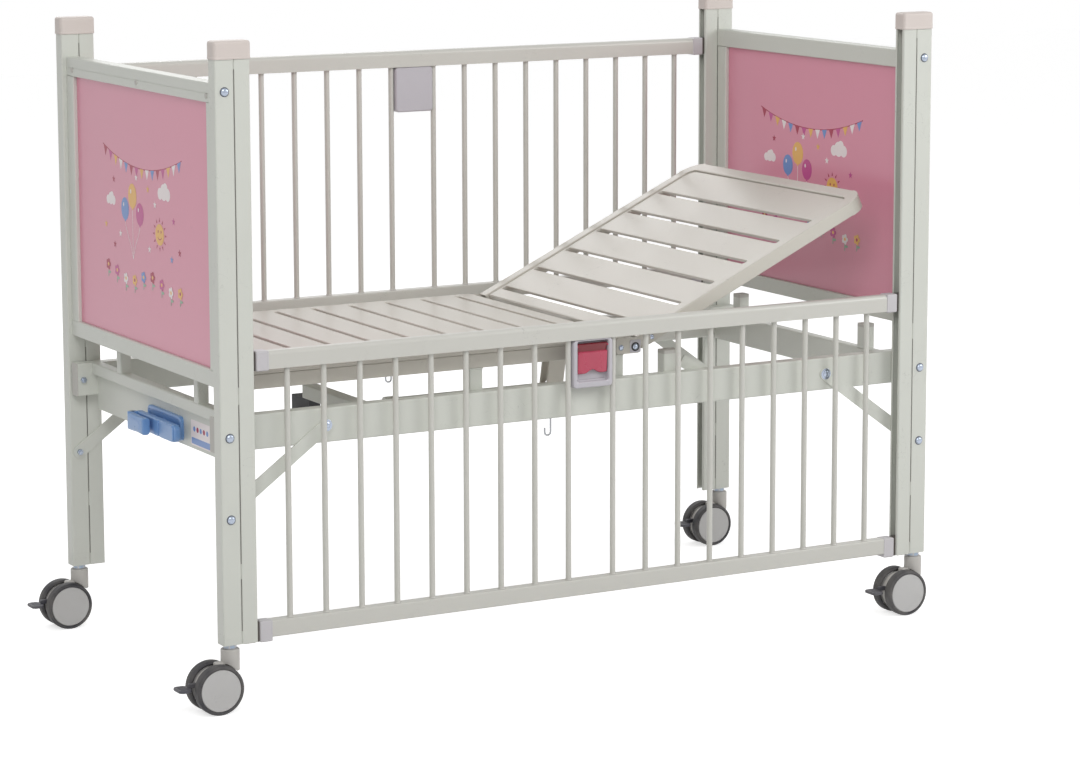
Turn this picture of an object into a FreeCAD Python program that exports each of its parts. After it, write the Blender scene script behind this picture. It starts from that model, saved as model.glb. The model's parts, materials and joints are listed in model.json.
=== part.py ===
"""Child's hospital cot: a steel frame on four braked twin-wheel casters, with a slatted
platform whose head section is raised by a crank, two lift-up side rails and two end panels.

Axes: +X towards the head, +Z up, +Y towards the right-hand side rail, which is stored raised.
The left-hand rail is stored lowered. Lengths are millimetres, angles degrees.
"""
import os
import re

import FreeCAD
import Part
import Sketcher
from FreeCAD import Placement, Rotation, Vector

SIZES = (
    # posts, caps and rail guides
    ("half_length", 840, "bed centre to the outer end face of a post"),
    ("half_width", 415, "bed centre to the outer side face of a post"),
    ("post_low", 134, "floor to the foot of a post"),
    ("post_high", 1286, "floor to the top of a post, under its cap"),
    ("post_deep", 40, "post section along the bed"),
    ("post_wide", 32, "post section across the bed"),
    ("steel", 1.5, "wall of the frame tubes"),
    ("tube_round", 3, "outer corner radius of the frame tubes"),
    ("guide_deep", 34, "rail guide channel along the bed"),
    ("guide_wall", 2, "wall of the rail guide channel"),
    ("slot_wide", 19, "slot that the rail sliders run in"),
    ("cap_tall", 36, "post cap above its seat"),
    ("cap_flare", 2.5, "cap standing proud of the post on each side"),
    ("cap_seat", 2, "depth of the cap's seat over the post"),
    ("cap_round", 7, "rounding of the cap's corners"),
    ("cap_edge", 6, "rounding of the cap's upper edges"),
    # long rails, braces and bolts
    ("rail_low", 512, "floor to the underside of a long rail"),
    ("rail_tall", 70, "long rail section height"),
    ("rail_thick", 30, "long rail section across the bed"),
    ("rail_setback", 8, "long rail end inside the post's end face"),
    ("strap_thick", 3, "thickness of the corner braces and bolt spacers"),
    ("strap_wide", 28, "width of a corner brace"),
    ("brace_low", 385, "floor to the brace bolt in the post"),
    ("brace_reach", 224, "brace bolt in the post to brace bolt in the rail, along the bed"),
    ("panel_bolt", 1222, "floor to the bolt that holds an end panel"),
    ("bolt_thick", 8, "shank diameter of the frame bolts"),
    ("bolt_play", 0.3, "radial clearance of the bolt holes"),
    ("bolt_head", 15, "head diameter of the frame bolts"),
    ("bolt_dome", 5, "head height of the frame bolts"),
    ("bolt_flange", 0.8, "washer under a rail bolt's low head"),
    ("bolt_low", 1.7, "height of a rail bolt's low head"),
    ("bolt_crown", 2.4, "rounding of a bolt head"),
    ("bolt_end", 3, "shank beyond its nut"),
    ("nut_wide", 13, "width across the corners of a frame nut"),
    ("nut_tall", 6.5, "height of a frame nut"),
    ("spacer_wide", 24, "diameter of a bolt spacer"),
    # end panels
    ("panel_setback", 10, "panel frame inside the post's end face"),
    ("panel_frame", 31, "panel frame along the bed"),
    ("panel_high", 1237, "floor to the top of a panel frame"),
    ("top_rail_tall", 40, "top rail of a panel frame"),
    ("low_rail_low", 640, "floor to the underside of a panel frame"),
    ("low_rail_tall", 34, "bottom rail of a panel frame"),
    ("stile_wide", 36, "side stile of a panel frame"),
    ("board", 14, "thickness of an end panel"),
    ("groove_down", 23, "top of the panel frame to its groove"),
    ("groove", 2, "groove height"),
    ("groove_deep", 0.8, "groove depth"),
    # cross members between the long rails
    ("band", 25, "foot cross tube section"),
    ("strut_out", 202, "bed centre to a panel strut"),
    ("strut_wide", 22, "panel strut across the bed"),
    ("strut_lap", 20, "panel strut beside the panel frame"),
    ("plate_setback", 12, "crank plate behind the face of the foot cross tube"),
    ("plate_tall", 76, "crank plate height"),
    ("plate_lip", 22, "crank plate flange"),
    ("plate_steel", 2.5, "crank plate thickness"),
    ("beam_low", 507, "floor to the underside of the head beam"),
    ("beam_tall", 64, "head beam section height"),
    ("beam_deep", 25, "head beam section along the bed"),
    # fixed platform
    ("deck_tube", 30, "platform tube section"),
    ("deck_low", 626, "floor to the underside of the platform tubes"),
    ("deck_room", 9, "foot cross tube to the platform"),
    ("deck_over", 3, "platform sheet beyond its tubes at the hinge"),
    ("deck_head", 115, "bed centre to the end of the fixed platform tubes"),
    ("deck_mid", 340, "bed centre to the middle cross tube"),
    ("deck_cross", 65, "bed centre to the cross tube behind the hinge"),
    ("sheet", 1.5, "thickness of the platform sheet"),
    ("deck_rim", 8, "height of the platform sheet's turned-down rim"),
    ("slat_gap", 12, "width of a gap between platform slats"),
    ("slat_pitch", 90, "platform slat pitch"),
    ("slat_first", 27, "foot end of the platform to its first gap"),
    ("slat_margin", 25, "sheet left between the gaps and the platform's edge"),
    ("leg_wide", 30, "platform leg along the bed"),
    ("leg_deep", 30, "platform leg across the bed"),
    ("leg_low", 530, "floor to the foot of a platform leg"),
    ("leg_head", 93, "bed centre to the leg beside the hinge"),
    ("leg_foot", 241, "bed centre to the leg nearer the foot"),
    ("rest_wide", 28, "rest post section"),
    ("rest_long", 38, "rest post beside a long rail, along the bed"),
    ("rest_side", 226, "bed centre to a rest post beside a long rail"),
    ("strut_flat", 4, "thickness of a rest post's stay"),
    ("stay_wide", 26, "width of a rest post's stay"),
    ("stay_long", 100, "length of a rest post's stay"),
    ("stay_slope", 30, "slope of a rest post's stay"),
    ("rest_out", 255, "bed centre to a rest post on the head beam"),
    ("rest_high", 618, "floor to the top of a rest post"),
    ("moving_gap", 0.3, "clearance between moving neighbours"),
    # raised platform section
    ("hinge_x", 134, "bed centre to the back section's hinge"),
    ("rest_angle", 25, "stored angle of the back section"),
    ("back_start", 16, "hinge to the end of a back section tube"),
    ("back_room", 13, "head end of the lowered back section to the end panel"),
    ("back_bend", 50, "outer radius of the back section's corners"),
    ("back_sink", 3, "back sheet below the top of its tubes"),
    ("back_sheet", 22, "hinge to the edge of the back sheet"),
    ("back_gap", 13, "width of a gap between back slats"),
    ("back_first", 62, "hinge to the first gap"),
    ("back_pitch", 91, "back slat pitch"),
    ("back_margin", 6, "sheet left between a gap's end and a back section tube"),
    ("sheet_edge", 2, "back sheet's head end to the head tube"),
    ("back_cross", 107, "hinge to the first cross tube's middle"),
    ("root_cross", 38.5, "hinge to the tube that carries the levers"),
    ("cross_wide", 28, "back section cross tube along the bed"),
    ("far_cross", 381, "hinge to the far cross tube's middle"),
    # hinge
    ("pin_thick", 10, "hinge pin diameter"),
    ("pin_play", 0.05, "radial running clearance of pins and shafts"),
    ("hinge_plate", 4, "thickness of hinge plates and lugs"),
    ("plate_back", 46, "hinge to the foot end of a hinge plate"),
    ("plate_front", 13, "hinge to the head end of a hinge plate"),
    ("plate_drop", 14, "hinge to the lower edge of a hinge plate"),
    ("plate_rise", 20, "hinge to the upper edge of a hinge plate"),
    ("lug_long", 46, "hinge to the end of a lug"),
    ("lug_tall", 24, "height of a lug"),
    ("rivet", 12, "head diameter of the hinge bolts"),
    ("rivet_tall", 3, "head height of the hinge bolts"),
    # crank drive
    ("crank_y", -26, "crank axis across the bed"),
    ("crank_drop", 134, "hinge down to the crank axis"),
    ("back_range", 65, "whole travel of the back section"),
    ("drive_gain", 1.09, "push tube travel for each radian and unit of drop"),
    ("screw", 16, "drive screw diameter"),
    ("screw_end", 165, "bed centre to the head end of the screw"),
    ("push_wide", 22, "push tube outer diameter"),
    ("push_bore", 17, "push tube bore"),
    ("push_long", 404, "push tube end to its pin"),
    ("push_eye", 12, "push tube beyond its pin"),
    ("nut_long", 30, "length of the drive nut"),
    ("drive_nut", 28, "diameter of the drive nut"),
    ("drive_pin", 12, "diameter of the push tube's pin"),
    ("lever_play", 2.9, "clearance each side of the pin in the lever slots"),
    ("lever_gap", 13, "drive line to a lever's inner face"),
    ("lever", 4, "thickness of a lever"),
    ("lever_wide", 40, "width of a lever round its slot"),
    ("lever_from", 24, "hinge to the near end of a lever's blade"),
    ("wing_reach", 28, "lever's wing behind the hinge"),
    ("pin_over", 2, "push tube's pin beyond each lever"),
    ("arm_x", 483, "bed centre to the screw arm"),
    ("arm_tube", 30, "screw arm section"),
    ("arm_high", 573, "floor to the top of the screw arm"),
    ("arm_gap", 37, "drive line to the end of the screw arm"),
    ("bearing_long", 26, "screw bearing along the bed"),
    ("bearing_out", 64, "drive line to the screw bearing's arm side"),
    ("bearing_in", 20, "drive line to the screw bearing's free side"),
    ("bezel_wide", 172, "crank bezel across the bed"),
    ("bezel_tall", 50, "crank bezel height"),
    ("bezel_thick", 8, "crank bezel thickness"),
    ("bezel_rise", 6, "crank axis up to the bezel's middle"),
    ("bezel_round", 8, "corner radius of the bezel"),
    ("bezel_side", 35, "diameter of the bezel's sleeve through the plate"),
    ("bezel_sleeve", 14, "length of the bezel's sleeve"),
    ("crank_gap", 6, "bezel to the crank arm"),
    ("crank_thick", 18, "crank arm thickness"),
    ("crank_tall", 36, "crank arm height"),
    ("crank_side", 105, "crank axis to either end of the arm"),
    ("crank_round", 14, "corner radius of the crank arm"),
    ("crank_seat", 14, "depth of the screw in the crank arm"),
    ("crank_hub", 26, "diameter of the hub behind the crank arm"),
    ("grip_pivot", 92, "crank axis to the grip's pivot"),
    ("grip_out", 9, "arm face to the grip's pivot"),
    ("grip_eye", 8, "radius of the grip's ears"),
    ("grip_ear", 8, "height of a grip ear"),
    ("grip_pin", 6, "diameter of the grip's pin"),
    ("grip_long", 90, "grip pivot to the grip's free end"),
    ("grip_thick", 19, "grip thickness"),
    ("grip_lift", 3.6, "arm face to the folded grip"),
    ("grip_room", 1, "grip clear of the ears and of the arm"),
    # side rails
    ("side_thick", 26, "side rail tube across the bed"),
    ("side_top", 36, "side rail top tube height"),
    ("side_low", 34, "side rail bottom tube height"),
    ("side_crown", 9, "rounding of the top tube's upper edges"),
    ("slider_neck", 6, "slider between its end block and the guide"),
    ("block_long", 26, "end block length"),
    ("block_flare", 1, "end block standing proud of its tube"),
    ("block_under", 3, "upper end block below its tube"),
    ("block_drop", 8, "lower end block below its tube"),
    ("spigot_long", 20, "end block plug inside its tube"),
    ("spigot_play", 0.1, "end block plug inside its tube, clearance"),
    ("slider_room", 5, "slider end to the post"),
    ("slider_play", 0.75, "slider in its slot, clearance each side"),
    ("slider_head", 26, "slider head inside the guide"),
    ("bar_wide", 12, "side rail bar diameter"),
    ("bar_steel", 1, "side rail bar wall"),
    ("bar_first", 53, "rail centre to the nearest bar"),
    ("bar_last", 45, "end of a side rail tube to its last bar"),
    ("bar_count", 9, "bars each side of the rail centre"),
    ("bar_long", 503, "visible length of a bar"),
    ("rail_rest", 712, "floor to the top of a lowered side rail"),
    ("rail_travel", 505, "side rail lift"),
    # side rail latch
    ("case_wide", 93, "latch housing along the bed"),
    ("case_tall", 101, "latch housing height"),
    ("case_thick", 24, "latch housing across the bed"),
    ("well_wide", 71, "recess for the latch handle"),
    ("well_tall", 82, "recess height"),
    ("well_deep", 14, "recess depth"),
    ("well_down", 4, "housing top to the recess"),
    ("handle_wide", 69, "latch handle along the bed"),
    ("handle_tall", 63, "latch handle height"),
    ("handle_thick", 11, "latch handle thickness"),
    ("handle_down", 5, "recess top to the handle"),
    ("handle_wall", 2.5, "handle wall round its finger pull"),
    ("handle_lip", 14, "height of the handle's solid upper lip"),
    ("handle_pin", 5, "diameter of the handle's pivot pins"),
    ("handle_pin_long", 4, "handle pivot pin beyond the handle"),
    ("bolt_nose", 10, "latch bolt diameter"),
    ("bolt_nose_long", 52, "latch bolt length"),
    ("bolt_rod", 6, "latch rod diameter"),
    ("bolt_inner", 30, "rail centre to the end of a latch rod"),
    ("latch_play", 0.5, "latch bolt in its hole in the guide, radial clearance"),
    ("latch_out", 0.5, "latch bolt beyond the slider"),
    # casters
    ("wheel_radius", 50, "caster wheel radius"),
    ("wheel_wide", 24, "width of one wheel"),
    ("wheel_inner", 10.5, "caster centre to a wheel's inner face"),
    ("wheel_round", 7, "rounding of the tread's edges"),
    ("wheel_clear", 1.5, "neck clear of the tread"),
    ("hub_radius", 40, "radius of a wheel inside its tread"),
    ("hub_recess", 1, "hub and axle end inside the tread's outer face"),
    ("trail", 34, "caster stem to the wheel axis"),
    ("axle", 8, "wheel axle diameter"),
    ("web_radius", 42, "radius of the caster's centre web"),
    ("web_thick", 18, "thickness of the caster's centre web"),
    ("neck_radius", 19, "radius of the caster's neck"),
    ("neck_low", 82, "floor to the foot of the neck"),
    ("neck_high", 125.7, "floor to the top of the neck"),
    ("stem", 12, "caster stem diameter"),
    ("stem_low", 96, "floor to the end of the stem"),
    ("stem_room", 1, "stem bore below the end of the stem"),
    ("collar_radius", 13, "radius of the stem collar"),
    ("socket_tall", 40, "stem socket inside the post"),
    ("pedal_pivot", 62, "caster stem to the pedal's pivot"),
    ("pedal_height", 62, "floor to the pedal's pivot"),
    ("pedal_pin", 5, "pedal pivot pin diameter"),
    ("pedal_eye", 6.5, "radius of the pedal's eye"),
    ("pedal_arm", 8, "width of the pedal's arm"),
    ("pedal_slot", 0.4, "pedal arm in its slot, clearance each side"),
    ("pedal_arm_tall", 9.1, "height of the pedal's arm"),
    ("pedal_lap", 2, "pedal arm over the tread"),
    ("pedal_start", 88, "caster stem to the pedal's tread"),
    ("pedal_end", 116, "caster stem to the pedal's tip"),
    ("pedal_wide", 42, "pedal tread width"),
    ("pedal_thick", 6, "pedal tread thickness"),
    ("pedal_low", 51, "floor to the underside of the pedal's tread"),
    # small parts
    ("plug_thick", 2, "thickness of the long rails' end plugs"),
    ("button", 11, "diameter of the hole plugs in the panel frames"),
    ("button_tall", 1.5, "height of a hole plug"),
    ("button_in", 33, "end of a panel frame's top rail to an outer hole plug"),
    ("button_down", 26.5, "top of a panel frame to its hole plugs"),
    ("hook_x", 76, "bed centre to a bag hook"),
    ("hook_wire", 4, "bag hook wire diameter"),
    ("hook_drop", 30, "straight length of a bag hook"),
    ("hook_bend", 7, "bend radius of a bag hook"),
    ("hook_tip", 9, "length of a bag hook's tip"),
    ("origin_shift", 0, "moves the model's middle to the origin"),
)

ALONG = {"X": Rotation(Vector(1, 1, 1), 120), "Y": Rotation(Vector(1, 1, 1), 240), "Z": Rotation()}
HALF_TURN = Rotation(Vector(0, 0, 1), 180)
TOUCH = 0.01
PITCH_UP = Vector(0, -1, 0)
SIDES = (("left", -1), ("right", 1))
ENDS = (("foot", -1), ("head", 1))

doc = FreeCAD.newDocument("hospital_cot")
sheet = doc.addObject("Spreadsheet::Sheet", "Sizes")
NAMES = {name for name, value, meaning in SIZES}
NODES = []


def fill_sheet():
    """Write each size, its name and its meaning on a row of the spreadsheet."""
    for row, (name, value, meaning) in enumerate(SIZES, 1):
        sheet.set(f"A{row}", meaning)
        sheet.set(f"B{row}", str(value))
        sheet.setAlias(f"B{row}", name)
    doc.recompute()


def bound(text):
    """Point the size names in an expression at the spreadsheet."""
    return re.sub(r"[a-z][a-z_0-9]*", lambda word: "Sizes." * (word.group() in NAMES) + word.group(), text)


def value(text):
    """The present value of an expression of sizes."""
    return float(sheet.evalExpression(bound(text)))


# ---------------------------------------------------------------- building blocks


def at(piece, x="0", y="0", z="0"):
    """Bind a piece's place to expressions."""
    for letter, text in zip("xyz", (x, y, z)):
        piece.setExpression(f"Placement.Base.{letter}", bound(text))
    return piece


def box(name, low, long):
    """A block from its lowest corner and its three lengths, all expressions."""
    piece = doc.addObject("Part::Box", name)
    for side, text in zip(("Length", "Width", "Height"), long):
        piece.setExpression(side, bound(text))
    return at(piece, *low)


def rod(name, along, radius, long, start):
    """A round bar that runs from its start along +X, +Y or +Z."""
    piece = doc.addObject("Part::Cylinder", name)
    piece.setExpression("Radius", bound(radius))
    piece.setExpression("Height", bound(long))
    piece.Placement = Placement(Vector(), ALONG[along])
    return at(piece, *start)


def cut(name, base, tools):
    """A piece less one or more others."""
    piece = doc.addObject("Part::Cut", name)
    piece.Base = base
    piece.Tool = tools[0] if len(tools) == 1 else together(name + "Holes", tools)
    return piece


def together(name, pieces):
    """Separate or overlapping pieces as one cutting tool."""
    piece = doc.addObject("Part::MultiFuse", name)
    piece.Shapes = pieces
    return piece


def joined(name, pieces):
    """Pieces fused into one solid."""
    piece = doc.addObject("Part::MultiFuse", name)
    piece.Shapes = pieces
    piece.Refine = True
    return piece


def copied(name, pieces, x="0", y="0", z="0", turn=Rotation()):
    """Pieces grouped and placed again elsewhere."""
    piece = doc.addObject("Part::Compound", name)
    piece.Links = pieces
    piece.Placement = Placement(Vector(), turn)
    return at(piece, x, y, z)


def node(label, pieces, x="0", y="0", z="0", turn=Rotation()):
    """A named sub-part, placed in the bed's frame."""
    piece = copied(label, pieces, f"{x} + origin_shift", y, z, turn)
    piece.Label = label
    NODES.append(piece)
    return piece


def plane(body, role):
    """One of a body's own origin planes or axes."""
    return next(part for part in body.Origin.OriginFeatures if part.Role == role)


def rectangle(body, name, wide, deep, x="0", y="0"):
    """A rectangle sketched round a point of the body's XY plane."""
    sketch = body.newObject("Sketcher::SketchObject", name)
    sketch.AttachmentSupport = (plane(body, "XY_Plane"), [""])
    sketch.MapMode = "FlatFace"
    corners = [Vector(-1, -1), Vector(1, -1), Vector(1, 1), Vector(-1, 1)]
    for number in range(4):
        sketch.addGeometry(Part.LineSegment(corners[number], corners[(number + 1) % 4]))
    middle = sketch.addGeometry(Part.Point(Vector(0, 0)), True)
    for number in range(4):
        sketch.addConstraint(Sketcher.Constraint("Coincident", number, 2, (number + 1) % 4, 1))
        sketch.addConstraint(Sketcher.Constraint("Vertical" if number % 2 else "Horizontal", number))
    sketch.addConstraint(Sketcher.Constraint("Symmetric", 0, 1, 2, 1, middle, 1))
    driven = (
        ("wide", Sketcher.Constraint("DistanceX", 0, 1, 0, 2, 2.0), wide),
        ("deep", Sketcher.Constraint("DistanceY", 1, 1, 1, 2, 2.0), deep),
        ("middle_x", Sketcher.Constraint("DistanceX", -1, 1, middle, 1, 0.0), x),
        ("middle_y", Sketcher.Constraint("DistanceY", -1, 1, middle, 1, 0.0), y),
    )
    for title, constraint, text in driven:
        sketch.renameConstraint(sketch.addConstraint(constraint), title)
        sketch.setExpression(f"Constraints.{title}", bound(text))
    return sketch


def line_edges(feature, keep):
    """Names of a feature's straight edges along its body's Z axis, chosen by where they are."""
    chosen = []
    for number, edge in enumerate(feature.Shape.Edges, 1):
        straight = edge.Curve.TypeId == "Part::GeomLine" and abs(edge.tangentAt(0).z) > 0.999
        if straight and keep(edge.CenterOfMass):
            chosen.append(f"Edge{number}")
    return chosen


def round_edges(feature, keep):
    """Names of a feature's full circles, chosen by where they are."""
    chosen = []
    for number, edge in enumerate(feature.Shape.Edges, 1):
        if edge.Curve.TypeId == "Part::GeomCircle" and edge.isClosed() and keep(edge.CenterOfMass):
            chosen.append(f"Edge{number}")
    return chosen


def fillet(body, feature, edges, radius):
    """Round some edges of a body's latest feature."""
    rounding = body.newObject("PartDesign::Fillet", "Rounding")
    rounding.Base = (feature, edges)
    rounding.setExpression("Radius", bound(radius))
    body.Tip = rounding
    rounding.recompute()
    return rounding


def pad(body, outline, long):
    """Pad a sketch along the body's Z axis."""
    outline.recompute()
    feature = body.newObject("PartDesign::Pad", "Length")
    feature.Profile = outline
    feature.setExpression("Length", bound(long))
    body.Tip = feature
    feature.recompute()
    return feature


def bar(name, along, wide, deep, long, start, corner):
    """A solid rectangular bar with rounded long edges, from the middle of its first end."""
    body = doc.addObject("PartDesign::Body", name)
    length = pad(body, rectangle(body, "Outline", wide, deep), long)
    fillet(body, length, line_edges(length, lambda middle: True), corner)
    body.Placement = Placement(Vector(), ALONG[along])
    return at(body, *start)


def bored(body, wide, deep):
    """Cut a rectangular bore right through a body along its Z axis."""
    hollow = rectangle(body, "Hollow", wide, deep)
    hollow.recompute()
    bore = body.newObject("PartDesign::Pocket", "Bore")
    bore.Profile = hollow
    bore.Type = "ThroughAll"
    bore.Reversed = True
    body.Tip = bore
    bore.recompute()
    return bore


def tube(name, along, wide, deep, long, start, wall="steel", corner="tube_round"):
    """A rectangular tube that runs from the middle of its first end along +X, +Y or +Z.

    A tube along X is wide in Y and deep in Z, one along Y is wide in Z and deep in X.
    """
    body = bar(name, along, wide, deep, long, start, corner)
    bored(body, f"{wide} - 2 * {wall}", f"{deep} - 2 * {wall}")
    return body


def crowned_bar(name, wide, deep, long, start, crown):
    """A solid bar along X whose upper edges are rounded."""
    body = doc.addObject("PartDesign::Body", name)
    length = pad(body, rectangle(body, "Outline", wide, deep), long)
    fillet(body, length, line_edges(length, lambda middle: middle.y > 0), crown)
    body.Placement = Placement(Vector(), ALONG["X"])
    return at(body, *start)


def disc(name, along, radius, thick, start, corner, both=True):
    """A disc with its outer edges rounded, or only the one at its far end."""
    body = doc.addObject("PartDesign::Body", name)
    sketch = body.newObject("Sketcher::SketchObject", "Outline")
    sketch.AttachmentSupport = (plane(body, "XY_Plane"), [""])
    sketch.MapMode = "FlatFace"
    sketch.addGeometry(Part.Circle(Vector(), Vector(0, 0, 1), 1))
    sketch.addConstraint(Sketcher.Constraint("Coincident", 0, 3, -1, 1))
    sketch.renameConstraint(sketch.addConstraint(Sketcher.Constraint("Radius", 0, 1.0)), "radius")
    sketch.setExpression("Constraints.radius", bound(radius))
    length = pad(body, sketch, thick)
    fillet(body, length, round_edges(length, lambda middle: both or middle.z > TOUCH), corner)
    body.Placement = Placement(Vector(), ALONG[along])
    return at(body, *start)


def ring(name, along, outer, inner, long, start):
    """A round tube or washer."""
    outside = rod(name + "Outside", along, outer, long, start)
    return cut(name, outside, [rod(name + "Bore", along, inner, long, start)])


# ---------------------------------------------------------------- shared lines of the bed

POST_X = "(half_length - post_deep / 2)"
POST_Y = "(half_width - post_wide / 2)"
POST_TALL = "(post_high - post_low)"
POST_IN = "(half_width - post_wide)"
RAIL_IN = f"({POST_IN} - strap_thick - rail_thick)"
RAIL_MID = "(rail_low + rail_tall / 2)"
RAIL_HIGH = "(rail_low + rail_tall)"
BRACE_RISE = f"({RAIL_MID} - brace_low)"
HINGE_Z = "(deck_low + deck_tube / 2)"
DECK_TOP = "(deck_low + deck_tube)"
CRANK_Z = f"({HINGE_Z} - crank_drop)"
PANEL_IN = "(half_length - panel_setback - panel_frame)"
PLATE_FACE = f"({PANEL_IN} - plate_setback)"
BEAM_FACE = "(half_length - post_deep - beam_deep)"
DECK_FOOT = f"({PANEL_IN} - band - deck_room)"
BEZEL_FACE = f"({PLATE_FACE} + bezel_thick)"
ARM_IN = f"({BEZEL_FACE} + crank_gap)"
ARM_OUT = f"({ARM_IN} + crank_thick)"
BACK_HALF = f"({RAIL_IN} - moving_gap)"
BACK_IN = f"({BACK_HALF} - deck_tube)"
BACK_LONG = f"({PANEL_IN} - back_room - hinge_x)"
HALF_STROKE = "(crank_drop * drive_gain * pi / 180 * back_range / 2)"
PIN_X = "(hinge_x + crank_drop * drive_gain * pi / 180 * (rest_angle - back_range / 2))"
SHAFT_BORE = "screw / 2 + pin_play"
CLEAR_HOLE = "bolt_thick / 2 + bolt_play"
SLIDER_END = "(half_length - post_deep - slider_room)"
SIDE_HALF = "(half_length - post_deep - guide_deep - slider_neck - block_long)"
RAIL_PLANE = {"left": (-1, "rail_rest"), "right": (1, "(rail_rest + rail_travel)")}


def corners():
    """Each corner's end and side names, its signs, and the turn that faces it outwards."""
    for end, along in ENDS:
        for side, across in SIDES:
            yield end, side, along, across


# ---------------------------------------------------------------- frame


def posts():
    """Four corner posts, drilled across for the frame's bolts."""
    outside = tube("PostTube", "Z", "post_deep", "post_wide", POST_TALL, ("0", "0", "post_low"))
    holes = []
    for number, height in enumerate((RAIL_MID, "brace_low", "panel_bolt")):
        start = ("0", "-post_wide", height)
        holes.append(rod(f"PostHole{number}", "Y", CLEAR_HOLE, "2 * post_wide", start))
    post = cut("Post", outside, holes)
    for end, side, along, across in corners():
        node(f"post_{end}_{side}", [post], f"{along} * {POST_X}", f"{across} * {POST_Y}")


def rail_guides():
    """Channels on the posts' inner faces, with a hole for the latch bolt at each stored height."""
    outside = tube("GuideTube", "Z", "guide_deep", "post_wide", POST_TALL, ("0", "0", "post_low"),
                   "guide_wall")
    slot_start = ("-guide_deep", "-slot_wide / 2", "post_low")
    cuts = [box("GuideSlot", slot_start, ("guide_deep", "slot_wide", POST_TALL))]
    for number, height in enumerate(("rail_rest", "(rail_rest + rail_travel)")):
        start = ("0", "0", f"{height} - side_top / 2")
        cuts.append(rod(f"LatchHole{number}", "X", "bolt_nose / 2 + latch_play", "guide_deep", start))
    guide = cut("Guide", outside, cuts)
    across_bed = []
    for side, across in SIDES:
        reach = f"{POST_X} - (post_deep + guide_deep) / 2"
        across_bed.append(copied(f"GuideHead_{side}", [guide], reach, f"{across} * {POST_Y}"))
        across_bed.append(copied(f"GuideFoot_{side}", [guide], f"-({reach})", f"{across} * {POST_Y}",
                                 turn=HALF_TURN))
    node("rail_guides", across_bed)


def post_caps():
    """Moulded caps over the tops of the posts and guides."""
    long = "post_deep + guide_deep"
    body = doc.addObject("PartDesign::Body", "CapBody")
    outline = rectangle(body, "Outline", f"{long} + 2 * cap_flare", "post_wide + 2 * cap_flare")
    block = pad(body, outline, "cap_tall")
    sides = fillet(body, block, line_edges(block, lambda middle: True), "cap_round")
    top = [f"Edge{number}" for number, edge in enumerate(sides.Shape.Edges, 1)
           if edge.CenterOfMass.z > value("cap_tall") - TOUCH]
    fillet(body, sides, top, "cap_edge")
    at(body, z="post_high - cap_seat")
    seat_start = (f"-({long}) / 2", "-post_wide / 2", "post_high - cap_seat")
    cap = cut("Cap", body, [box("CapSeat", seat_start, (long, "post_wide", "cap_seat"))])
    caps = []
    for end, side, along, across in corners():
        reach = f"{along} * ({POST_X} - guide_deep / 2)"
        caps.append(copied(f"Cap_{end}_{side}", [cap], reach, f"{across} * {POST_Y}"))
    node("post_caps", caps)


def long_rails():
    """The two rails that join the posts, their end plugs and the plugs in the panel frames."""
    half = "(half_length - rail_setback)"
    outside = tube("LongTube", "X", "rail_thick", "rail_tall", f"2 * {half}", (f"-{half}", "0", RAIL_MID))
    holes = []
    for number, reach in enumerate((POST_X, f"({POST_X} - brace_reach)")):
        for along in (-1, 1):
            start = (f"{along} * {reach}", "-rail_thick", RAIL_MID)
            holes.append(rod(f"RailHole{number}", "Y", CLEAR_HOLE, "2 * rail_thick", start))
    rail = cut("LongRail", outside, holes)
    middle = f"({POST_IN} - strap_thick - rail_thick / 2)"
    for side, across in SIDES:
        node(f"long_rail_{side}", [rail], y=f"{across} * {middle}")
    flange = bar("PlugFlange", "X", "rail_thick", "rail_tall", "plug_thick", (half, "0", RAIL_MID),
                 "tube_round")
    inner = ("rail_thick - 2 * steel - 2 * spigot_play", "rail_tall - 2 * steel - 2 * spigot_play")
    shank = bar("PlugShank", "X", *inner, "3 * plug_thick", (f"{half} - 3 * plug_thick", "0", RAIL_MID),
                "steel")
    plug = joined("RailPlug", [flange, shank])
    plugs = []
    for side, across in SIDES:
        plugs.append(copied(f"HeadPlug_{side}", [plug], y=f"{across} * {middle}"))
        plugs.append(copied(f"FootPlug_{side}", [plug], y=f"{across} * {middle}", turn=HALF_TURN))
    face = "(half_length - panel_setback)"
    for number in (-1, 0, 1):
        button = disc(f"Button{number + 1}", "X", "button / 2", "button_tall",
                      (face, f"{number} * ({POST_IN} - button_in)",
                       "panel_high - button_down"), "button_tall / 2", both=False)
        plugs.append(button)
        plugs.append(copied(f"FootButton{number + 1}", [button], turn=HALF_TURN))
    node("end_plugs", plugs)


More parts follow.
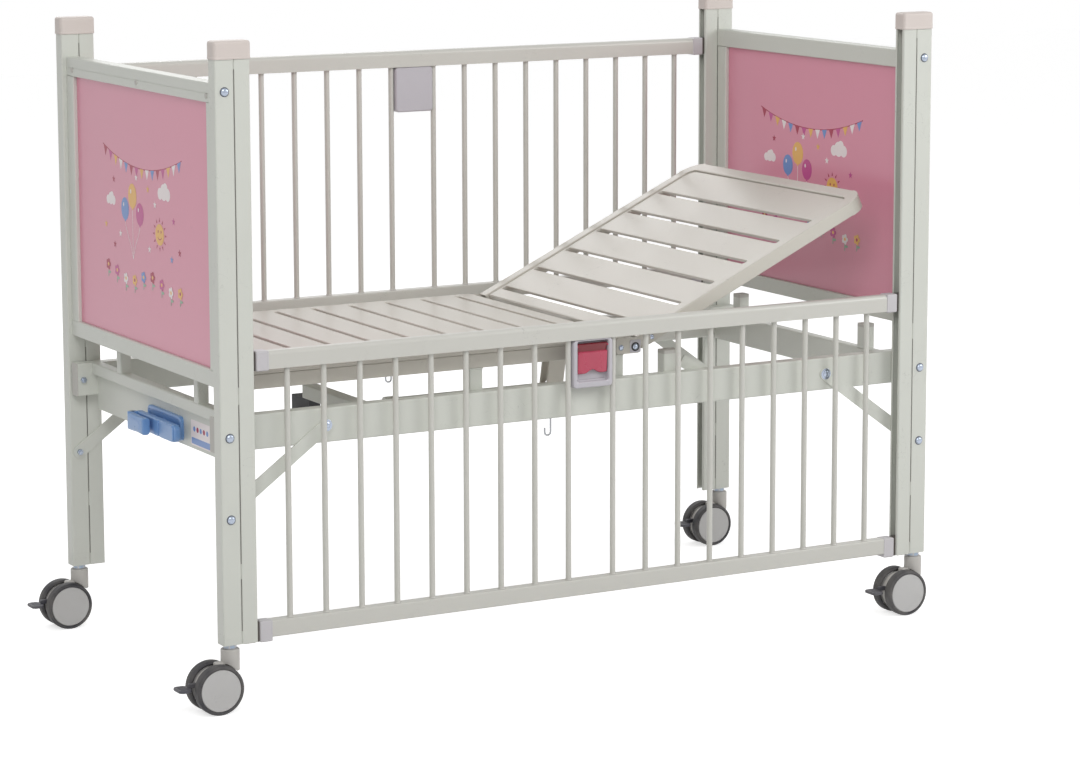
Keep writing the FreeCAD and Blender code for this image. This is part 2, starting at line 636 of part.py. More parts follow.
def end_panels():
    """Two framed end panels."""
    middle_x = "(half_length - panel_setback - panel_frame / 2)"
    half = POST_IN
    top_z = "(panel_high - top_rail_tall / 2)"
    low_z = "(low_rail_low + low_rail_tall / 2)"
    top_tube = tube("TopTube", "Y", "top_rail_tall", "panel_frame", f"2 * {half}",
                    (middle_x, f"-{half}", top_z))
    groove_start = (f"{middle_x} + panel_frame / 2 - groove_deep", f"-{half}", "panel_high - groove_down")
    top = cut("TopRail", top_tube, [box("Groove", groove_start, ("groove_deep", f"2 * {half}", "groove"))])
    low = tube("LowRail", "Y", "low_rail_tall", "panel_frame", f"2 * {half}", (middle_x, f"-{half}", low_z))
    stile_low = "(low_rail_low + low_rail_tall)"
    stile_tall = f"(panel_high - top_rail_tall - {stile_low})"
    stiles = []
    for side, across in SIDES:
        start = (middle_x, f"{across} * ({half} - stile_wide / 2)", stile_low)
        stiles.append(tube(f"Stile_{side}", "Z", "panel_frame", "stile_wide", stile_tall, start))
    inner = f"({half} - stile_wide)"
    board_start = (f"{middle_x} - board / 2", f"-{inner}", stile_low)
    board = box("Board", board_start, ("board", f"2 * {inner}", stile_tall))
    for end, turn in (("foot", HALF_TURN), ("head", Rotation())):
        node(f"{end}_panel_frame", [top, low, *stiles], turn=turn)
        node(f"{end}_panel", [board], turn=turn)


def cross_members():
    """The foot cross tube with its panel struts, the crank plate and the head beam."""
    band_x = f"-({PANEL_IN} - band / 2)"
    band = tube("Band", "Y", "band", "band", f"2 * {RAIL_IN}",
                (band_x, f"-{RAIL_IN}", f"{RAIL_HIGH} - band / 2"))
    members = [band]
    strut_tall = f"low_rail_low + strut_lap - {RAIL_HIGH}"
    for side, across in SIDES:
        start = (band_x, f"{across} * strut_out", RAIL_HIGH)
        members.append(tube(f"PanelStrut_{side}", "Z", "band", "strut_wide", strut_tall, start))
    node("foot_cross_frame", members)

    plate_low = f"{RAIL_HIGH} - band - plate_tall"
    outer = box("PlateBlock", (f"-{PLATE_FACE}", f"-{RAIL_IN}", plate_low),
                ("plate_lip", f"2 * {RAIL_IN}", "plate_tall"))
    gap_start = (f"-{PLATE_FACE} + plate_steel", f"-{RAIL_IN}", f"{plate_low} + plate_steel")
    gap = box("PlateGap", gap_start, ("plate_lip", f"2 * {RAIL_IN}", "plate_tall - 2 * plate_steel"))
    hole = rod("PlateHole", "X", "bezel_side / 2 + bolt_play", "plate_lip",
               (f"-{PLATE_FACE} - plate_steel", "crank_y", CRANK_Z))
    node("crank_plate", [cut("CrankPlate", outer, [gap, hole])])

    beam_start = (f"{BEAM_FACE} + beam_deep / 2", f"-{RAIL_IN}", "beam_low + beam_tall / 2")
    node("head_cross_beam", [tube("HeadBeam", "Y", "beam_tall", "beam_deep", f"2 * {RAIL_IN}", beam_start)])


def corner_braces():
    """Flat braces from the posts up to the long rails."""
    reach = f"sqrt(brace_reach^2 + {BRACE_RISE}^2)"
    flat = box("BraceFlat", ("0", "0", "-strap_wide / 2"), (reach, "strap_thick", "strap_wide"))
    ends = [rod(f"BraceEnd{number}", "Y", "strap_wide / 2", "strap_thick", (start, "0", "0"))
            for number, start in enumerate(("0", reach))]
    holes = [rod(f"BraceHole{number}", "Y", CLEAR_HOLE, "strap_thick", (start, "0", "0"))
             for number, start in enumerate(("0", reach))]
    flat_bar = cut("BraceBar", joined("BraceBlank", [flat, *ends]), holes)
    brace = copied("Brace", [flat_bar], POST_X, "0", "brace_low")
    brace.Placement = Placement(Vector(), Rotation(Vector(0, 1, 0), 180))
    brace.setExpression("Placement.Rotation.Angle", bound(f"180 + atan({BRACE_RISE} / brace_reach) / 1 deg"))
    low, high = f"-{POST_IN}", f"({POST_IN} - strap_thick)"
    node("corner_braces", [
        copied("BraceHeadLeft", [brace], y=low),
        copied("BraceHeadRight", [brace], y=high),
        copied("BraceFootRight", [brace], y=f"-({low})", turn=HALF_TURN),
        copied("BraceFootLeft", [brace], y=f"-{high}", turn=HALF_TURN),
    ])


def bolt(name, long, nut_at, low_head=False):
    """A bolt along +Y from its head, which lies at -Y, with its nut."""
    if low_head:
        flange = rod(name + "Flange", "Y", "spacer_wide / 2", "bolt_flange", ("0", "-bolt_flange", "0"))
        dome = rod(name + "Dome", "Y", "bolt_head / 2", "bolt_low", ("0", "-bolt_flange - bolt_low", "0"))
        head = [flange, dome]
    else:
        dome = disc(name + "Dome", "Z", "bolt_head / 2", "bolt_dome", ("0", "0", "0"), "bolt_crown",
                    both=False)
        dome.Placement = Placement(Vector(), Rotation(Vector(1, 0, 0), 90))
        head = [dome]
    shank = rod(name + "Shank", "Y", "bolt_thick / 2", long, ("0", "0", "0"))
    hexagon = doc.addObject("Part::Prism", name + "Hexagon")
    hexagon.Polygon = 6
    hexagon.setExpression("Circumradius", bound("nut_wide / 2"))
    hexagon.setExpression("Height", bound("nut_tall"))
    hexagon.Placement = Placement(Vector(), ALONG["Y"])
    at(hexagon, y=nut_at)
    hole = rod(name + "NutHole", "Y", "bolt_thick / 2", "nut_tall", ("0", nut_at, "0"))
    return [joined(name, [*head, shank]), cut(name + "Nut", hexagon, [hole])]


def frame_bolts():
    """Every bolt of the frame, with the spacers between rails and posts."""
    through = "(post_wide + strap_thick + rail_thick)"
    rail_bolt = bolt("RailBolt", f"{through} + nut_tall + bolt_end", through)
    strap_bolt = bolt("StrapBolt", "post_wide + strap_thick + nut_tall + bolt_end", "post_wide + strap_thick")
    panel_bolt = bolt("PanelBolt", "post_wide + nut_tall + bolt_end", "post_wide")
    inner_bolt = bolt("InnerBolt", "strap_thick + rail_thick + nut_tall + bolt_end",
                      "strap_thick + rail_thick", True)
    spacer = ring("Spacer", "Y", "spacer_wide / 2", "bolt_thick / 2 + bolt_play", "strap_thick",
                  ("0", "post_wide", "0"))
    column = []
    for along in (-1, 1):
        at_post = f"{along} * {POST_X}"
        column.append(copied("RailBoltAt", [*rail_bolt, spacer], at_post, "-half_width", RAIL_MID))
        column.append(copied("StrapBoltAt", strap_bolt, at_post, "-half_width", "brace_low"))
        column.append(copied("PanelBoltAt", panel_bolt, at_post, "-half_width", "panel_bolt"))
        at_rail = f"{along} * ({POST_X} - brace_reach)"
        column.append(copied("InnerBoltAt", inner_bolt, at_rail, f"-{POST_IN}", RAIL_MID))
    node("frame_bolts", [copied("LeftBolts", column), copied("RightBolts", column, turn=HALF_TURN)])


def fixed_deck():
    """The fixed half of the platform: tubes, slatted sheet, legs, rest posts and buffers."""
    long = f"({DECK_FOOT} + deck_head)"
    tubes = []
    for side, across in SIDES:
        start = (f"-{DECK_FOOT}", f"{across} * ({RAIL_IN} - deck_tube / 2)", HINGE_Z)
        tubes.append(tube(f"DeckSide_{side}", "X", "deck_tube", "deck_tube", long, start))
    inner = f"({RAIL_IN} - deck_tube)"
    for name, middle in (("Foot", f"(-{DECK_FOOT} + deck_tube / 2)"), ("Middle", "-deck_mid"),
                         ("Head", "deck_cross")):
        start = (middle, f"-{inner}", HINGE_Z)
        tubes.append(tube(f"Deck{name}Tube", "Y", "deck_tube", "deck_tube", f"2 * {inner}", start))
    node("deck_frame", tubes)

    sheet_long = f"({long} + deck_over)"
    outer = box("DeckBlock", (f"-{DECK_FOOT}", f"-{RAIL_IN}", DECK_TOP),
                (sheet_long, f"2 * {RAIL_IN}", "deck_rim"))
    under_start = (f"-{DECK_FOOT} + sheet", f"-{RAIL_IN} + sheet", DECK_TOP)
    under_long = (f"{sheet_long} - 2 * sheet", f"2 * {RAIL_IN} - 2 * sheet", "deck_rim - sheet")
    tray = cut("DeckTray", outer, [box("DeckUnder", under_start, under_long)])
    reach = f"({RAIL_IN} - slat_margin)"
    lips, gaps = [], []
    count = int(value(f"({long} - slat_first - slat_margin) / slat_pitch")) + 1
    for number in range(count):
        middle = f"(slat_first - {DECK_FOOT} + {number} * slat_pitch)"
        lip_start = (f"{middle} - slat_gap / 2 - sheet", f"-{reach} - sheet", DECK_TOP)
        lips.append(box("DeckLip", lip_start, ("slat_gap + 2 * sheet", f"2 * {reach} + 2 * sheet",
                                               "deck_rim")))
        gap_start = (f"{middle} - slat_gap / 2", f"-{reach}", DECK_TOP)
        gaps.append(box("DeckGap", gap_start, ("slat_gap", f"2 * {reach}", "deck_rim")))
    node("deck_panel", [cut("DeckSheet", joined("DeckLipped", [tray, *lips]), gaps)])

    supports, buffers = [], []
    leg_tall = "(deck_low - leg_low)"
    for side, across in SIDES:
        for name, middle in (("Head", "leg_head"), ("Foot", "-leg_foot")):
            start = (middle, f"{across} * ({RAIL_IN} - leg_deep / 2)", "leg_low")
            supports.append(tube(f"Leg{name}_{side}", "Z", "leg_wide", "leg_deep", leg_tall, start))
        side_y = f"{across} * ({RAIL_IN} - rest_wide / 2)"
        supports.append(tube(f"RestPost_{side}", "Z", "rest_long", "rest_wide", "rest_high - leg_low",
                             ("rest_side", side_y, "leg_low")))
        head_y = f"{across} * rest_out"
        supports.append(tube(f"HeadRest_{side}", "Z", "rest_wide", "rest_wide",
                             "rest_high - beam_low - beam_tall",
                             (f"{BEAM_FACE} + beam_deep / 2", head_y, "beam_low + beam_tall")))
        pad_tall = "deck_low - moving_gap - rest_high"
        buffers.append(bar(f"SideBuffer_{side}", "Z", "rest_long", "rest_wide", pad_tall,
                           ("rest_side", side_y, "rest_high"), "tube_round"))
        buffers.append(bar(f"HeadBuffer_{side}", "Z", "rest_wide", "rest_wide", pad_tall,
                           (f"{BEAM_FACE} + beam_deep / 2", head_y, "rest_high"), "tube_round"))
        stay_y = f"-{RAIL_IN}" if across < 0 else f"({RAIL_IN} - strut_flat)"
        stay = box(f"Stay_{side}", ("0", "0", "-stay_wide / 2"), ("stay_long", "strut_flat", "stay_wide"))
        sloped = copied(f"SlopedStay_{side}", [stay], "rest_side + rest_long / 2 + stay_wide / 4", stay_y,
                        "rest_high - stay_wide / 2 - strut_flat", Rotation(Vector(0, 1, 0), value("stay_slope")))
        sloped.setExpression("Placement.Rotation.Angle", bound("stay_slope"))
        supports.append(sloped)
    arm_long = f"{RAIL_IN} + crank_y - arm_gap"
    supports.append(tube("ScrewArm", "Y", "arm_tube", "arm_tube", arm_long,
                         ("-arm_x", f"-{RAIL_IN}", "arm_high - arm_tube / 2")))
    node("frame_supports", supports)
    node("rest_buffers", buffers)


def span(across, near, far):
    """Where a piece starts in Y so that it lies between two distances from the bed's middle."""
    return near if across > 0 else f"-({far})"


def hinge_plates():
    """Plates on the fixed platform with the hinge pins and their rivets."""
    pieces = []
    outer = f"({RAIL_IN} + hinge_plate)"
    for side, across in SIDES:
        plate_y = span(across, RAIL_IN, outer)
        start = ("hinge_x - plate_back", plate_y, f"{HINGE_Z} - plate_drop")
        blank = box(f"HingeBlank_{side}", start,
                    ("plate_back + plate_front", "hinge_plate", "plate_drop + plate_rise"))
        hole = rod(f"HingeHole_{side}", "Y", "pin_thick / 2", "hinge_plate", ("hinge_x", plate_y, HINGE_Z))
        pieces.append(cut(f"HingePlate_{side}", blank, [hole]))
        head_y = span(across, outer, f"{outer} + rivet_tall")
        shank_y = span(across, f"({RAIL_IN} - deck_tube / 3)", outer)
        pieces.append(joined(f"HingePin_{side}", [
            rod(f"PinShank_{side}", "Y", "pin_thick / 2", "deck_tube / 3 + hinge_plate",
                ("hinge_x", shank_y, HINGE_Z)),
            rod(f"PinHead_{side}", "Y", "pin_thick / 2 + rivet_tall", "rivet_tall",
                ("hinge_x", head_y, HINGE_Z)),
        ]))
        rivet_start = ("hinge_x - plate_back + rivet", head_y, HINGE_Z)
        pieces.append(rod(f"HingeRivet_{side}", "Y", "rivet / 2", "rivet_tall", rivet_start))
    node("hinge_plates", pieces)


# ---------------------------------------------------------------- raised section
# Its pieces are built flat, with the hinge axis at the origin, and then pitched up.


def back_node(label, pieces):
    """A sub-part of the raised section."""
    piece = node(label, pieces, "hinge_x", "0", HINGE_Z, Rotation(PITCH_UP, value("rest_angle")))
    piece.setExpression("Placement.Rotation.Angle", bound("rest_angle"))


def back_section():
    """Tubes, slatted sheet, hinge lugs and drive levers of the raised section."""
    tubes = []
    side_long = f"{BACK_LONG} - back_bend - back_start"
    bend_x = f"({BACK_LONG} - back_bend)"
    bend_in = "(back_bend - deck_tube)"
    for side, across in SIDES:
        start = ("back_start", f"{across} * ({BACK_HALF} - deck_tube / 2)", "0")
        tubes.append(tube(f"BackSide_{side}", "X", "deck_tube", "deck_tube", side_long, start))
        centre = (bend_x, f"{across} * ({BACK_HALF} - back_bend)")
        walls = (("Outer", "back_bend", 0), ("Inner", bend_in, 0),
                 ("Bore", "(back_bend - steel)", 1), ("Core", f"({bend_in} + steel)", 1))
        quarter = []
        for name, radius, thin in walls:
            tall = f"deck_tube - {2 * thin} * steel"
            piece = rod(f"Bend{name}_{side}", "Z", radius, tall,
                        (*centre, f"-deck_tube / 2 + {thin} * steel"))
            piece.Angle = 90
            piece.Placement = Placement(Vector(), Rotation(Vector(0, 0, 1), 0 if across > 0 else -90))
            quarter.append(piece)
        hollow = cut(f"BendHollow_{side}", quarter[2], [quarter[3]])
        tubes.append(cut(f"BackBend_{side}", cut(f"BendSolid_{side}", quarter[0], [quarter[1]]), [hollow]))
    head_half = f"({BACK_HALF} - back_bend)"
    tubes.append(tube("BackHead", "Y", "deck_tube", "deck_tube", f"2 * {head_half}",
                      (f"{BACK_LONG} - deck_tube / 2", f"-{head_half}", "0")))
    top = "(deck_tube / 2 - back_sink)"
    cross_tall = f"(deck_tube / 2 + {top} - sheet)"
    for name, middle in (("Root", "root_cross"), ("Near", "back_cross"), ("Far", "far_cross")):
        start = (middle, f"-{BACK_IN}", f"-deck_tube / 2 + {cross_tall} / 2")
        tubes.append(tube(f"Back{name}", "Y", cross_tall, "cross_wide", f"2 * {BACK_IN}", start))
    back_node("back_frame", tubes)

    edge = f"({BACK_LONG} - deck_tube - sheet_edge)"
    flat = bar("BackFlat", "Z", f"{edge} - back_sheet", f"2 * {BACK_IN}", "sheet",
               (f"({edge} + back_sheet) / 2", "0", f"{top} - sheet"), bend_in)
    root = box("BackRootSheet", ("back_sheet", f"-{BACK_IN}", f"{top} - sheet"),
               ("back_bend", f"2 * {BACK_IN}", "sheet"))
    rim = box("BackRim", ("back_sheet", f"-{BACK_IN} + sheet", f"{top} - deck_rim"),
              ("sheet", f"2 * {BACK_IN} - 2 * sheet", "deck_rim"))
    reach = f"({BACK_IN} - back_margin)"
    lips, gaps = [], []
    count = int(value(f"({edge} - back_first - slat_margin) / back_pitch")) + 1
    for number in range(count):
        middle = f"(back_first + {number} * back_pitch)"
        lip_start = (f"{middle} - back_gap / 2 - sheet", f"-{reach} - sheet", f"{top} - deck_rim")
        lips.append(box("BackLip", lip_start, ("back_gap + 2 * sheet", f"2 * {reach} + 2 * sheet",
                                               "deck_rim")))
        gap_start = (f"{middle} - back_gap / 2", f"-{reach}", f"{top} - deck_rim")
        gaps.append(box("BackGap", gap_start, ("back_gap", f"2 * {reach}", "deck_rim")))
    back_node("back_panel", [cut("BackSheet", joined("BackLipped", [flat, root, rim, *lips]), gaps)])

    brackets = []
    for side, across in SIDES:
        inside = f"({BACK_HALF} - steel)"
        lug_y = span(across, f"({inside} - hinge_plate)", inside)
        eye = rod(f"LugEye_{side}", "Y", "lug_tall / 2", "hinge_plate", ("0", lug_y, "0"))
        arm = box(f"LugArm_{side}", ("0", lug_y, "-lug_tall / 2"), ("lug_long", "hinge_plate", "lug_tall"))
        bore = rod(f"LugBore_{side}", "Y", "pin_thick / 2 + pin_play", "hinge_plate", ("0", lug_y, "0"))
        brackets.append(cut(f"Lug_{side}", joined(f"LugBlank_{side}", [eye, arm]), [bore]))
        rivet_start = ("lug_long - rivet / 2", span(across, BACK_HALF, f"({BACK_HALF} + rivet_tall)"),
                       "-hinge_plate")
        brackets.append(rod(f"BackRivet_{side}", "Y", "rivet / 2", "rivet_tall", rivet_start))
    slot_from = "(crank_drop - lever_play)"
    slot_to = f"(sqrt(crank_drop^2 + {HALF_STROKE}^2) + lever_play)"
    slot_half = "(drive_pin / 2 + lever_play)"
    blade = box("LeverBlade", ("lever_from", "0", "-lever_wide / 2"),
                (f"{slot_to} - lever_from", "lever", "lever_wide"))
    tip = rod("LeverTip", "Y", "lever_wide / 2", "lever", (slot_to, "0", "0"))
    slot = [box("LeverSlot", (slot_from, "0", f"-{slot_half}"),
                (f"{slot_to} - {slot_from}", "lever", f"2 * {slot_half}"))]
    for name, middle in (("Near", slot_from), ("Far", slot_to)):
        slot.append(rod(f"LeverSlot{name}", "Y", slot_half, "lever", (middle, "0", "0")))
    slotted = cut("LeverSlotted", joined("LeverBlank", [blade, tip]), slot)
    swing = "-90 - back_range / 2"
    swung = copied("LeverSwung", [slotted], turn=Rotation(PITCH_UP, value(swing)))
    swung.setExpression("Placement.Rotation.Angle", bound(swing))
    wing = box("LeverWing", ("-wing_reach", "0", "-lever_wide"),
               ("root_cross + lever_wide", "lever", "lever_wide - deck_tube / 2"))
    lever = joined("Lever", [swung, wing])
    for name, y in (("Left", "crank_y - lever_gap - lever"), ("Right", "crank_y + lever_gap")):
        brackets.append(copied(f"Lever{name}", [lever], y=y))
    back_node("back_brackets", brackets)


# ---------------------------------------------------------------- crank drive


def crank_drive():
    """Crank with its folding grip, bearings, screw and push tube."""
    bezel_start = (f"-{BEZEL_FACE}", "crank_y", f"{CRANK_Z} + bezel_rise")
    bezel = bar("BezelBlock", "X", "bezel_wide", "bezel_tall", "bezel_thick", bezel_start, "bezel_round")
    sleeve = rod("BezelSleeve", "X", "bezel_side / 2", "bezel_sleeve", (f"-{PLATE_FACE}", "crank_y", CRANK_Z))
    bore = rod("BezelBore", "X", SHAFT_BORE, "bezel_thick + bezel_sleeve",
               (f"-{BEZEL_FACE}", "crank_y", CRANK_Z))
    node("crank_bearing", [cut("CrankBearing", joined("BezelJoined", [bezel, sleeve]), [bore])])

    block_low = f"({CRANK_Z} - bearing_in)"
    block_x = "(-arm_x - bearing_long / 2)"
    block = box("ScrewBlock", (block_x, "crank_y - bearing_out", block_low),
                ("bearing_long", "bearing_out + bearing_in", f"arm_high - arm_tube - {block_low}"))
    block_bore = rod("ScrewBlockBore", "X", SHAFT_BORE, "bearing_long", (block_x, "crank_y", CRANK_Z))
    node("screw_bearing", [cut("ScrewBearing", block, [block_bore])])

    screw_from = f"(-{ARM_IN} - crank_seat)"
    node("crank_screw", [rod("Screw", "X", "screw / 2", f"-screw_end - {screw_from}",
                             (screw_from, "crank_y", CRANK_Z))])

    arm = bar("ArmBlock", "X", "2 * crank_side", "crank_tall", "crank_thick",
              (f"-{ARM_OUT}", "crank_y", CRANK_Z), "crank_round")
    seat = rod("ArmSeat", "X", "screw / 2", "crank_seat", (screw_from, "crank_y", CRANK_Z))
    hub = ring("CrankHub", "X", "crank_hub / 2", "screw / 2", "crank_gap - moving_gap",
               (f"-{ARM_IN}", "crank_y", CRANK_Z))
    pivot_x = f"(-{ARM_OUT} - grip_out)"
    pivot_y = "(crank_y + grip_pivot)"
    low = f"({CRANK_Z} - crank_tall / 2)"
    ears = []
    for name, height in (("Low", low), ("High", f"{low} + crank_tall - grip_ear")):
        ears.append(rod(f"Ear{name}", "Z", "grip_eye", "grip_ear", (pivot_x, pivot_y, height)))
        ears.append(box(f"EarRoot{name}", (pivot_x, f"{pivot_y} - grip_eye", height),
                        ("grip_out", "2 * grip_eye", "grip_ear")))
    pin_hole = rod("EarHole", "Z", "grip_pin / 2", "crank_tall", (pivot_x, pivot_y, low))
    solid_arm = cut("CrankArm", joined("ArmJoined", [arm, *ears]), [seat, pin_hole])
    grip_pin = rod("GripPin", "Z", "grip_pin / 2", "crank_tall", (pivot_x, pivot_y, low))
    node("crank_arm", [solid_arm, hub, grip_pin])

    tongue_tall = "(crank_tall - 2 * grip_ear - 2 * moving_gap)"
    eye = rod("GripEye", "Z", "grip_eye", tongue_tall, ("0", "0", f"-{tongue_tall} / 2"))
    tongue = box("GripTongue", ("-grip_eye", "-grip_eye - grip_ear", f"-{tongue_tall} / 2"),
                 ("grip_eye + grip_out - grip_lift - grip_room", "grip_eye + grip_ear", tongue_tall))
    handle_start = ("grip_out - grip_lift - grip_thick / 2", "-grip_long", "0")
    handle = bar("GripBlock", "Y", "crank_tall", "grip_thick", "grip_long - grip_eye - grip_room",
                 handle_start, "grip_eye")
    grip_bore = rod("GripBore", "Z", "grip_pin / 2 + pin_play", "crank_tall", ("0", "0", "-crank_tall / 2"))
    grip = cut("Grip", joined("GripJoined", [eye, tongue, handle]), [grip_bore])
    node("crank_grip", [grip], pivot_x, pivot_y, CRANK_Z)

    nut_x = f"({PIN_X} - push_long)"
    nut = ring("DriveNut", "X", "drive_nut / 2", SHAFT_BORE, "nut_long", (nut_x, "crank_y", CRANK_Z))
    outer = ring("PushRing", "X", "push_wide / 2", "push_bore / 2", "push_long - nut_long + push_eye",
                 (f"{nut_x} + nut_long", "crank_y", CRANK_Z))
    pin_long = "(2 * lever_gap + 2 * lever + 2 * pin_over)"
    pin_start = (PIN_X, f"crank_y - {pin_long} / 2", CRANK_Z)
    cross_pin = rod("DrivePin", "Y", "drive_pin / 2", pin_long, pin_start)
    pin_clear = rod("DrivePinHole", "Y", "drive_pin / 2", pin_long, pin_start)
    node("push_tube", [nut, cut("PushTube", outer, [pin_clear]), cross_pin])


# ---------------------------------------------------------------- side rails
# Each is built with the middle of its top edge at the origin and its outer face at -Y.


def side_rails():
    """Lift-up side rails with sliding end blocks and a spring latch."""
    top_start = (f"-{SIDE_HALF}", "0", "-side_top / 2")
    long = f"2 * {SIDE_HALF}"
    top_block = crowned_bar("TopBlock", "side_thick", "side_top", long, top_start, "side_crown")
    inner_size = ("side_thick - 2 * steel", "side_top - 2 * steel")
    top_core = crowned_bar("TopCore", *inner_size, long, top_start, "side_crown - steel")
    top = cut("RailTop", top_block, [top_core])
    low_z = "(side_top + bar_long + side_low / 2)"
    low = tube("RailLow", "X", "side_thick", "side_low", long, (f"-{SIDE_HALF}", "0", f"-{low_z}"))

    body = doc.addObject("PartDesign::Body", "BarBody")
    sketch = body.newObject("Sketcher::SketchObject", "Outline")
    sketch.AttachmentSupport = (plane(body, "XY_Plane"), [""])
    sketch.MapMode = "FlatFace"
    reach = value("bar_first")
    for number, (title, text) in enumerate((("outer", "bar_wide / 2"),
                                            ("inner", "bar_wide / 2 - bar_steel"))):
        sketch.addGeometry(Part.Circle(Vector(reach, 0, 0), Vector(0, 0, 1), value(text)))
        sketch.addConstraint(Sketcher.Constraint("PointOnObject", number, 3, -1))
        away = sketch.addConstraint(Sketcher.Constraint("DistanceX", -1, 1, number, 3, reach))
        sketch.renameConstraint(away, title + "_away")
        radius = sketch.addConstraint(Sketcher.Constraint("Radius", number, value(text)))
        sketch.renameConstraint(radius, title)
        sketch.setExpression(f"Constraints.{title}_away", bound("bar_first"))
        sketch.setExpression(f"Constraints.{title}", bound(text))
    first = pad(body, sketch, "bar_long")
    row = body.newObject("PartDesign::LinearPattern", "Row")
    row.Originals = [first]
    row.Direction = (plane(body, "X_Axis"), [""])
    row.setExpression("Length", bound(f"{SIDE_HALF} - bar_first - bar_last"))
    row.setExpression("Occurrences", bound("bar_count"))
    body.Tip = row
    at(body, z="-side_top - bar_long")
    bars = [body, copied("BarsTurned", [body], turn=HALF_TURN)]

    blocks = []
    head_from = f"({SLIDER_END} - side_thick)"
    neck_half = "(slot_wide / 2 - slider_play)"
    wide = "(side_thick + 2 * block_flare)"
    top_floor, low_floor = "(-side_top - block_under)", f"(-{low_z} - side_low / 2 - block_drop)"
    floors = (("Top", top_floor, "(side_top + block_under + block_flare)", "side_top", "-side_top / 2"),
              ("Low", low_floor, "(side_low + block_drop + block_flare)", "side_low", f"-{low_z}"))
    for name, floor, tall, tube_tall, middle in floors:
        block = box(f"Block{name}", (SIDE_HALF, f"-{wide} / 2", floor), ("block_long", wide, tall))
        inner = ("side_thick - 2 * steel - 2 * spigot_play", f"{tube_tall} - 2 * steel - 2 * spigot_play")
        spigot = bar(f"Spigot{name}", "X", *inner, "spigot_long", (f"{SIDE_HALF} - spigot_long", "0", middle),
                     "side_crown")
        neck = box(f"Neck{name}", (f"{SIDE_HALF} + block_long", f"-{neck_half}", f"{floor} + block_flare"),
                   (f"{head_from} - {SIDE_HALF} - block_long", f"2 * {neck_half}",
                    f"{tall} - 2 * block_flare"))
        head = box(f"Slider{name}", (head_from, "-slider_head / 2", f"{floor} + block_flare"),
                   ("side_thick", "slider_head", f"{tall} - 2 * block_flare"))
        piece = joined(f"EndBlock{name}", [block, spigot, neck, head])
        if name == "Top":
            bolt_hole = rod("BlockBore", "X", "bolt_nose / 2 + 2 * pin_play", SLIDER_END,
                            ("0", "0", "-side_top / 2"))
            piece = cut("EndBlockBored", piece, [bolt_hole])
        blocks.append(piece)
    shared_blocks = copied("BlocksHead", blocks)
    turned_blocks = copied("BlocksFoot", blocks, turn=HALF_TURN)

    case_start = ("-case_wide / 2", "-case_thick / 2", "-side_top - case_tall")
    case = box("CaseBlock", case_start, ("case_wide", "case_thick", "case_tall"))
    well_top = "(-side_top - well_down)"
    well = box("CaseWell", ("-well_wide / 2", "-case_thick / 2", f"{well_top} - well_tall"),
               ("well_wide", "well_deep", "well_tall"))
    pivot_y = "(-case_thick / 2 + handle_thick / 2)"
    pivot_z = f"({well_top} - handle_down - handle_pin)"
    pin_long = "(handle_wide + 2 * handle_pin_long)"
    pivot_hole = rod("CaseHole", "X", "handle_pin / 2 + pin_play", pin_long,
                     (f"-{pin_long} / 2", pivot_y, pivot_z))
    housing = cut("Case", case, [well, pivot_hole])
    block_y = "(-handle_thick / 2)"
    shell = box("HandleBlock", ("-handle_wide / 2", block_y, "-handle_tall + handle_pin"),
                ("handle_wide", "handle_thick", "handle_tall"))
    pull = box("HandlePull", ("-handle_wide / 2 + handle_wall", block_y,
                              "-handle_tall + handle_pin + handle_wall"),
               ("handle_wide - 2 * handle_wall", "handle_thick - handle_wall",
                "handle_tall - handle_wall - handle_lip"))
    pins = rod("HandlePins", "X", "handle_pin / 2", pin_long, (f"-{pin_long} / 2", "0", "0"))
    handle = joined("Handle", [cut("HandleShell", shell, [pull]), pins])
    nose_from = f"({SLIDER_END} + latch_out - bolt_nose_long)"
    latch_bolt = joined("LatchBolt", [
        rod("LatchRod", "X", "bolt_rod / 2", f"{nose_from} - bolt_inner",
            ("bolt_inner", "0", "-side_top / 2")),
        rod("LatchNose", "X", "bolt_nose / 2", "bolt_nose_long", (nose_from, "0", "-side_top / 2")),
    ])
    for side, across in SIDES:
        y, height = f"{across} * {POST_Y}", RAIL_PLANE[side][1]
        turn = Rotation() if across < 0 else HALF_TURN
        other = HALF_TURN if across < 0 else Rotation()
        node(f"{side}_rail_tubes", [top, low], y=y, z=height, turn=turn)
        node(f"{side}_rail_bars", bars, y=y, z=height, turn=turn)
        node(f"{side}_rail_end_blocks", [shared_blocks, turned_blocks], y=y, z=height, turn=turn)
        node(f"{side}_latch_housing", [housing], y=y, z=height, turn=turn)
        # a turned rail puts its pivot on the other side of its own middle
        outward = f"{across} * {POST_Y} - {across} * {pivot_y}"
        node(f"{side}_latch_handle", [handle], y=outward, z=f"{height} + {pivot_z}", turn=turn)
        node(f"{side}_latch_bolt_head", [latch_bolt], y=y, z=height)
        node(f"{side}_latch_bolt_foot", [latch_bolt], y=y, z=height, turn=HALF_TURN)


